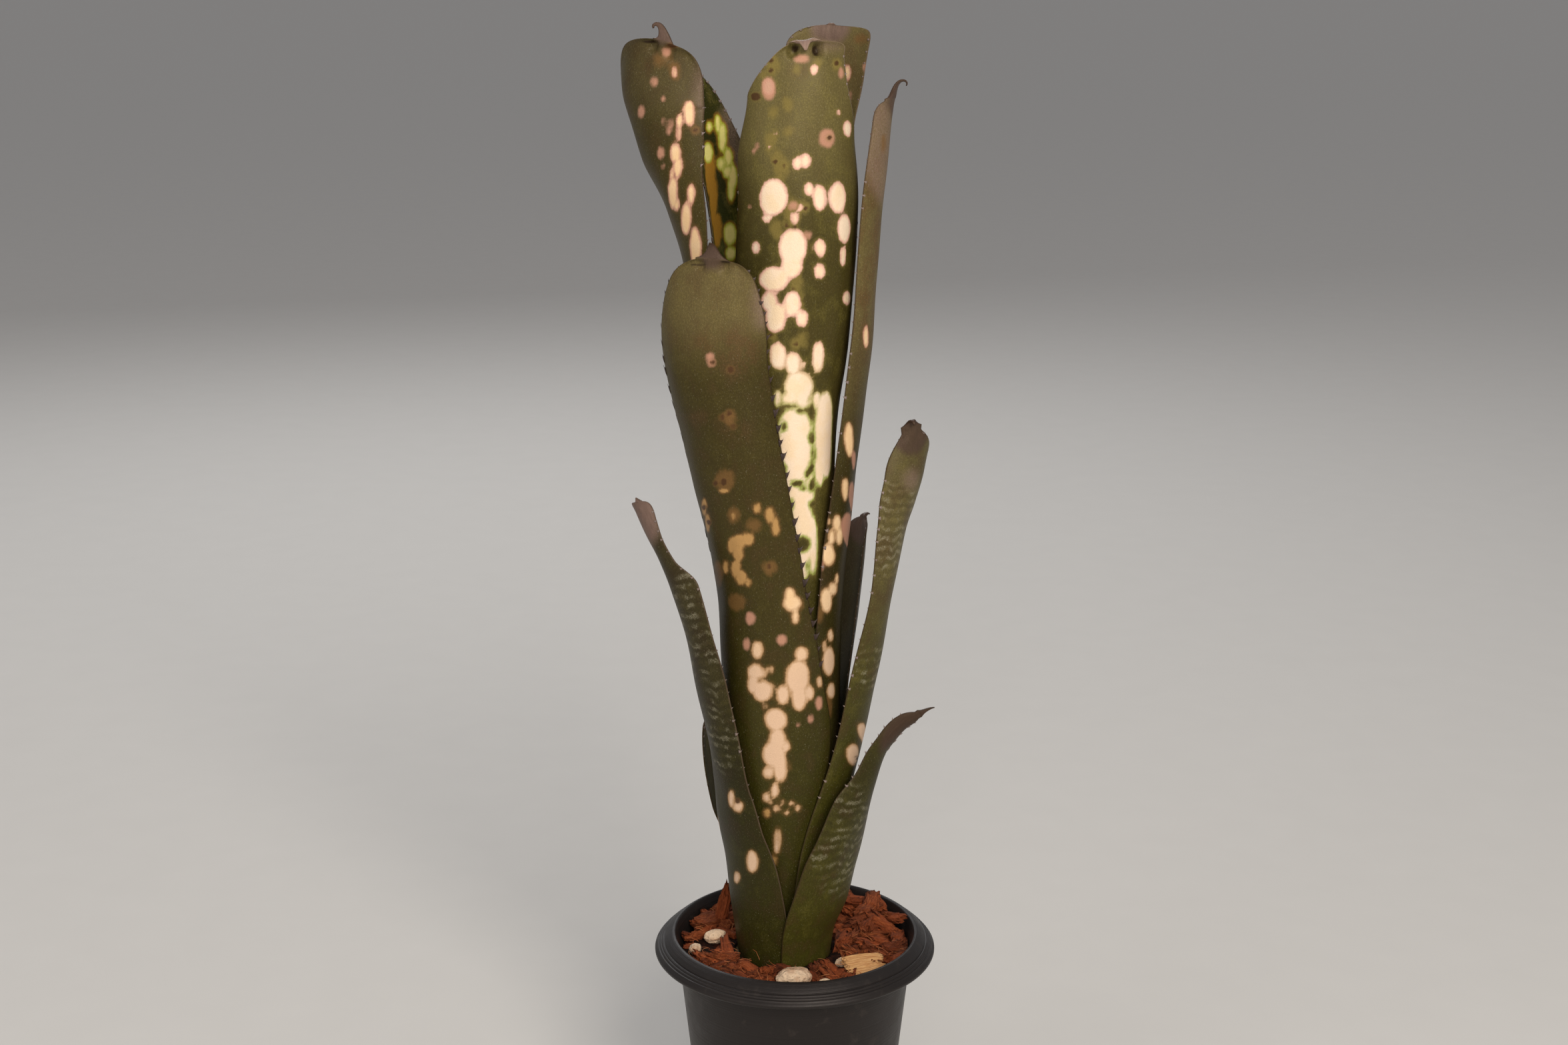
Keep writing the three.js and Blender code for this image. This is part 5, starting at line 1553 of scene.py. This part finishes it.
def husk_paint(settings):
    """Fibrous red-brown husk, each chip in its own tone, with its fibres along it."""
    paint = Paint("husk_chip")
    place = paint.kept("chip_grain", "Vector")
    tone, dusty, _ = paint.apart(paint.kept("chip_tone", "Vector"))
    coarse = paint.noise(place, (0.22, 0.8, 0.8), 5.0, 0.7)
    threads = paint.noise(place, (0.5, 4.2, 4.2), 4.0, 0.7)
    share = paint.math("MULTIPLY_ADD", coarse, 1.3, paint.math("MULTIPLY_ADD", tone, 0.7, -0.43))
    colour = paint.blend(share, settings.dark_husk[:], settings.husk[:])
    colour = paint.shade(colour, threads, 0.25, 1.75)
    orange = paint.times(paint.rise(threads, 0.5, 0.7), paint.rise(dusty, 0.2, 0.9, 0.9))
    colour = paint.blend(orange, colour, DRY_THREAD)
    paint.finish(base_color=colour, roughness=0.85, specular_ior_level=0.2)
    paint.bump(paint.math("MULTIPLY_ADD", threads, 1.2, coarse), 0.0007, 0.9)
    return paint.material


def crumb_paint(settings):
    """Dark crumb between the chips."""
    paint = Paint("packed_crumb")
    place = paint.own_place()
    coarse = paint.noise(place, 300.0, 6.0, 0.75)
    cells = paint.cells(place, 420.0)
    colour = paint.blend(paint.rise(coarse, 0.4, 0.7), DEEP_CRUMB, settings.dark_husk[:])
    paint.finish(base_color=paint.shade(colour, cells, 0.5, 1.5), roughness=0.95, specular_ior_level=0.15)
    paint.bump(paint.math("ADD", coarse, cells), 0.0015, 1.0)
    return paint.material


def fibre_paint(settings):
    """Loose threads of husk."""
    paint = Paint("loose_fibre")
    grain = paint.noise(paint.own_place(), 260.0, 3.0)
    colour = paint.blend(paint.rise(grain, 0.35, 0.65), settings.husk[:], settings.fibre[:])
    paint.finish(base_color=colour, roughness=0.7, specular_ior_level=0.3)
    return paint.material


class BROMELIAD_OT_mix(Operator):
    """Fill the pot with packed mix, husk chips and fibres"""

    bl_idname = "bromeliad.mix"
    bl_label = "Potting mix"

    def execute(self, context):
        build_mix(context.scene.bromeliad_mix)
        return {"FINISHED"}


def build_pebble(stone, index, material):
    """One pebble with its dents and a flat seat."""
    points, faces = ball(5)
    dents = wobble(points, 0.8, 5.0 + index)
    fine = wobble(points, 0.22, 15.0 + index)
    facets = np.abs(wobble(points, 1.3, 25.0 + index))
    half = np.array(stone["half"])
    shaped = points * (0.97 + 0.1 * dents - 0.08 * facets + 0.025 * fine)[:, None]
    shaped[:, 2] = np.maximum(shaped[:, 2], -0.8)
    shaped = turned(shaped * half, z=math.radians(stone["turn"]))
    shaped += np.array([*stone["at"], PEBBLE_SEAT + half[2]])
    made = make_object(stone["name"] + "_stone", shaped, faces, [material])
    seat(made, stone["name"])


def pumice_paint(settings):
    """Pale stone with stains, chalky specks and pits."""
    paint = Paint("pumice")
    place = paint.own_place()
    broad = paint.noise(place, 180.0, 4.0, 0.6)
    fine = paint.noise(place, 1400.0, 4.0, 0.7)
    pits = paint.cells(place, 900.0)
    colour = paint.blend(paint.rise(broad, 0.4, 0.68), settings.pumice[:], PUMICE_STAIN)
    colour = paint.blend(paint.rise(fine, 0.56, 0.72, 0.5), colour, PUMICE_CHALK)
    colour = paint.blend(paint.rise(pits, 0.2, 0.06, 0.7), colour, PUMICE_PIT)
    paint.finish(base_color=colour, roughness=0.9, specular_ior_level=0.25)
    paint.bump(paint.math("MULTIPLY_ADD", fine, 0.8, pits), 0.0005, 0.8)
    return paint.material


class BROMELIAD_OT_pebbles(Operator):
    """Lay the five pebbles on the mix"""

    bl_idname = "bromeliad.pebbles"
    bl_label = "Pebbles"

    def execute(self, context):
        material = pumice_paint(context.scene.bromeliad_mix)
        for index, stone in enumerate(PEBBLES):
            build_pebble(stone, index, material)
        return {"FINISHED"}


def build_wood_chip(material):
    """A split of wood with its grain along it and a ragged end."""
    made = bmesh.new()
    bmesh.ops.create_cube(made, size=2)
    bmesh.ops.subdivide_edges(made, edges=made.edges[:], cuts=31, use_grid_fill=True)
    points = np.array([v.co for v in made.verts])
    faces = [[v.index for v in face.verts] for face in made.faces]
    made.free()
    grain = wobble(points * np.array([0.25, 6.0, 3.0]), 1.0, 2.0)
    half = np.array(WOOD["half"])
    rounded = points * (1 - 0.12 * np.abs(points[:, [1, 2, 0]]) ** 6 * np.abs(points[:, [2, 0, 1]]) ** 2)
    shaped = rounded * half
    shaped[:, 0] += np.maximum(points[:, 0], 0) ** 4 * (grain - 0.3) * 1.3
    shaped[:, 0] += np.minimum(points[:, 0], 0) ** 4 * (0.3 - grain) * 1.4
    shaped[:, 1] *= 1 - 0.18 * points[:, 0]
    shaped[:, 2] += 0.22 * grain * np.sign(points[:, 2]) + 0.35 * points[:, 0] * points[:, 1]
    shaped = turned(shaped, x=math.radians(WOOD["tilt"]))
    shaped = turned(shaped, z=math.radians(WOOD["turn"]))
    shaped += np.array([*WOOD["at"], SURFACE + WOOD["lift"]])
    made = make_object("wood_chip_split", shaped, faces, [material])
    store(made, "chip_grain", points * half)
    seat(made, "wood_chip")


def wood_paint(settings):
    """Pale wood, streaked along its grain."""
    paint = Paint("pale_wood")
    place = paint.kept("chip_grain", "Vector")
    streaks = paint.noise(place, (0.12, 2.6, 1.5), 4.0, 0.7)
    fine = paint.noise(place, (0.5, 9.0, 5.0), 3.0, 0.7)
    colour = paint.blend(paint.rise(streaks, 0.36, 0.66), WOOD_STREAK, settings.wood[:])
    colour = paint.blend(paint.rise(fine, 0.5, 0.75, 0.6), colour, WOOD_THREAD)
    paint.finish(base_color=colour, roughness=0.72, specular_ior_level=0.3)
    paint.bump(paint.math("ADD", streaks, fine), 0.0003, 0.8)
    return paint.material


class BROMELIAD_OT_wood_chip(Operator):
    """Lay the split of pale wood on the mix"""

    bl_idname = "bromeliad.wood_chip"
    bl_label = "Wood chip"

    def execute(self, context):
        build_wood_chip(wood_paint(context.scene.bromeliad_mix))
        return {"FINISHED"}


def stem_paint():
    """Fibrous tissue of the stem."""
    paint = Paint("stem_tissue")
    place = paint.own_place()
    fibre = paint.noise(place, (900.0, 900.0, 60.0), 3.0, 0.6)
    colour = paint.blend(fibre, STEM_DARK, STEM_PALE)
    paint.finish(base_color=colour, roughness=0.75, specular_ior_level=0.3)
    paint.bump(fibre, 0.0003, 0.6)
    return paint.material


class BROMELIAD_OT_stem(Operator):
    """Finish the stem that stands in the mix"""

    bl_idname = "bromeliad.stem"
    bl_label = "Stem"

    def execute(self, context):
        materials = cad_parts["stem"].data.materials
        materials.clear()
        materials.append(stem_paint())
        return {"FINISHED"}


FLOOR_SIDES = 96
# Name, place, aim, width, height, watts and colour, in metres
LIGHTS = [
    ("key", (0.55, -1.4, 1.2), (0, 0, 0.25), 0.7, 0.7, 22.0, (1.0, 0.93, 0.84)),
    ("front", (-0.1, -1.6, 0.85), (0, 0, 0.22), 0.5, 0.5, 6.5, (1.0, 0.94, 0.87)),
    ("fill", (-1.2, -0.9, 0.7), (0, 0, 0.22), 0.9, 0.9, 3.5, (1.0, 0.95, 0.9)),
    ("back", (-0.35, 1.35, 1.2), (0, 0, 0.25), 1.0, 0.6, 8.0, (0.96, 0.98, 1.0)),
]


def aim(place, target):
    """Turn that makes a light face its target."""
    return (Vector(target) - Vector(place)).to_track_quat("-Z", "Y").to_euler()


class BROMELIAD_OT_camera(Operator):
    """Set up the camera in front of the pot"""

    bl_idname = "bromeliad.camera"
    bl_label = "Camera"

    def execute(self, context):
        settings = context.scene.bromeliad_stage
        data = bpy.data.cameras.new("camera")
        data.lens = settings.lens
        data.sensor_width = 36
        data.clip_start, data.clip_end = 0.01, 200
        camera = bpy.data.objects.new("camera", data)
        camera.location = settings.camera_place
        camera.rotation_euler = (math.pi / 2 - settings.camera_pitch, 0, 0)
        context.scene.collection.objects.link(camera)
        context.scene.camera = camera
        return {"FINISHED"}


def floor_paint(settings):
    """Pale floor with a hardly visible grain."""
    paint = Paint("pale_floor")
    grain = paint.noise(paint.own_place(), 40.0, 4.0)
    colour = paint.shade(settings.floor[:], grain, 0.98, 1.02)
    paint.finish(base_color=colour, roughness=0.85, specular_ior_level=0.2)
    return paint.material


class BROMELIAD_OT_stage(Operator):
    """Lay the floor and set the lights"""

    bl_idname = "bromeliad.stage"
    bl_label = "Stage"

    def execute(self, context):
        settings = context.scene.bromeliad_stage
        turn = 2 * np.pi * np.arange(FLOOR_SIDES) / FLOOR_SIDES
        rim = np.stack([np.cos(turn), np.sin(turn), 0 * turn], -1) * settings.floor_radius / MM
        floor = make_object("floor", rim, [list(range(FLOOR_SIDES))], [floor_paint(settings)])
        world = bpy.data.worlds.new("room")
        world.use_nodes = True
        world.node_tree.nodes["Background"].inputs["Color"].default_value = (*settings.sky, 1)
        context.scene.world = world
        context.scene.view_settings.view_transform = "Standard"
        for name, place, target, width, height, watts, colour in LIGHTS:
            data = bpy.data.lights.new(name, "AREA")
            data.shape = "RECTANGLE"
            data.size, data.size_y, data.energy, data.color = width, height, watts, colour
            light = bpy.data.objects.new(name, data)
            light.location = place
            light.rotation_euler = aim(place, target)
            context.scene.collection.objects.link(light)
        return {"FINISHED"}


OPERATORS = (
    BROMELIAD_OT_camera,
    BROMELIAD_OT_pot,
    BROMELIAD_OT_stem,
    BROMELIAD_OT_leaves,
    BROMELIAD_OT_mix,
    BROMELIAD_OT_pebbles,
    BROMELIAD_OT_wood_chip,
    BROMELIAD_OT_stage,
)


class BROMELIAD_PT_panel(Panel):
    """Lists the pieces of the plant and their settings"""

    bl_idname = "BROMELIAD_PT_panel"
    bl_label = "Potted bromeliad"
    bl_space_type = "VIEW_3D"
    bl_region_type = "UI"
    bl_category = "Bromeliad"

    def draw(self, context):
        for name, settings in SETTINGS.items():
            box = self.layout.box()
            box.label(text=settings.__doc__)
            for key in settings.__annotations__:
                box.prop(getattr(context.scene, name), key)
        for operator in OPERATORS:
            self.layout.operator(operator.bl_idname)


CLASSES = (*SETTINGS.values(), *OPERATORS, BROMELIAD_PT_panel)


def register():
    for each in CLASSES:
        bpy.utils.register_class(each)
    for name, settings in SETTINGS.items():
        setattr(bpy.types.Scene, name, PointerProperty(type=settings))


def unregister():
    for name in SETTINGS:
        delattr(bpy.types.Scene, name)
    for each in reversed(CLASSES):
        bpy.utils.unregister_class(each)


def main():
    register()
    bpy.ops.bromeliad.camera()
    bpy.ops.bromeliad.pot()
    bpy.ops.bromeliad.stem()
    bpy.ops.bromeliad.leaves()
    bpy.ops.bromeliad.mix()
    bpy.ops.bromeliad.pebbles()
    bpy.ops.bromeliad.wood_chip()
    bpy.ops.bromeliad.stage()


if __name__ == "__main__":
    main()
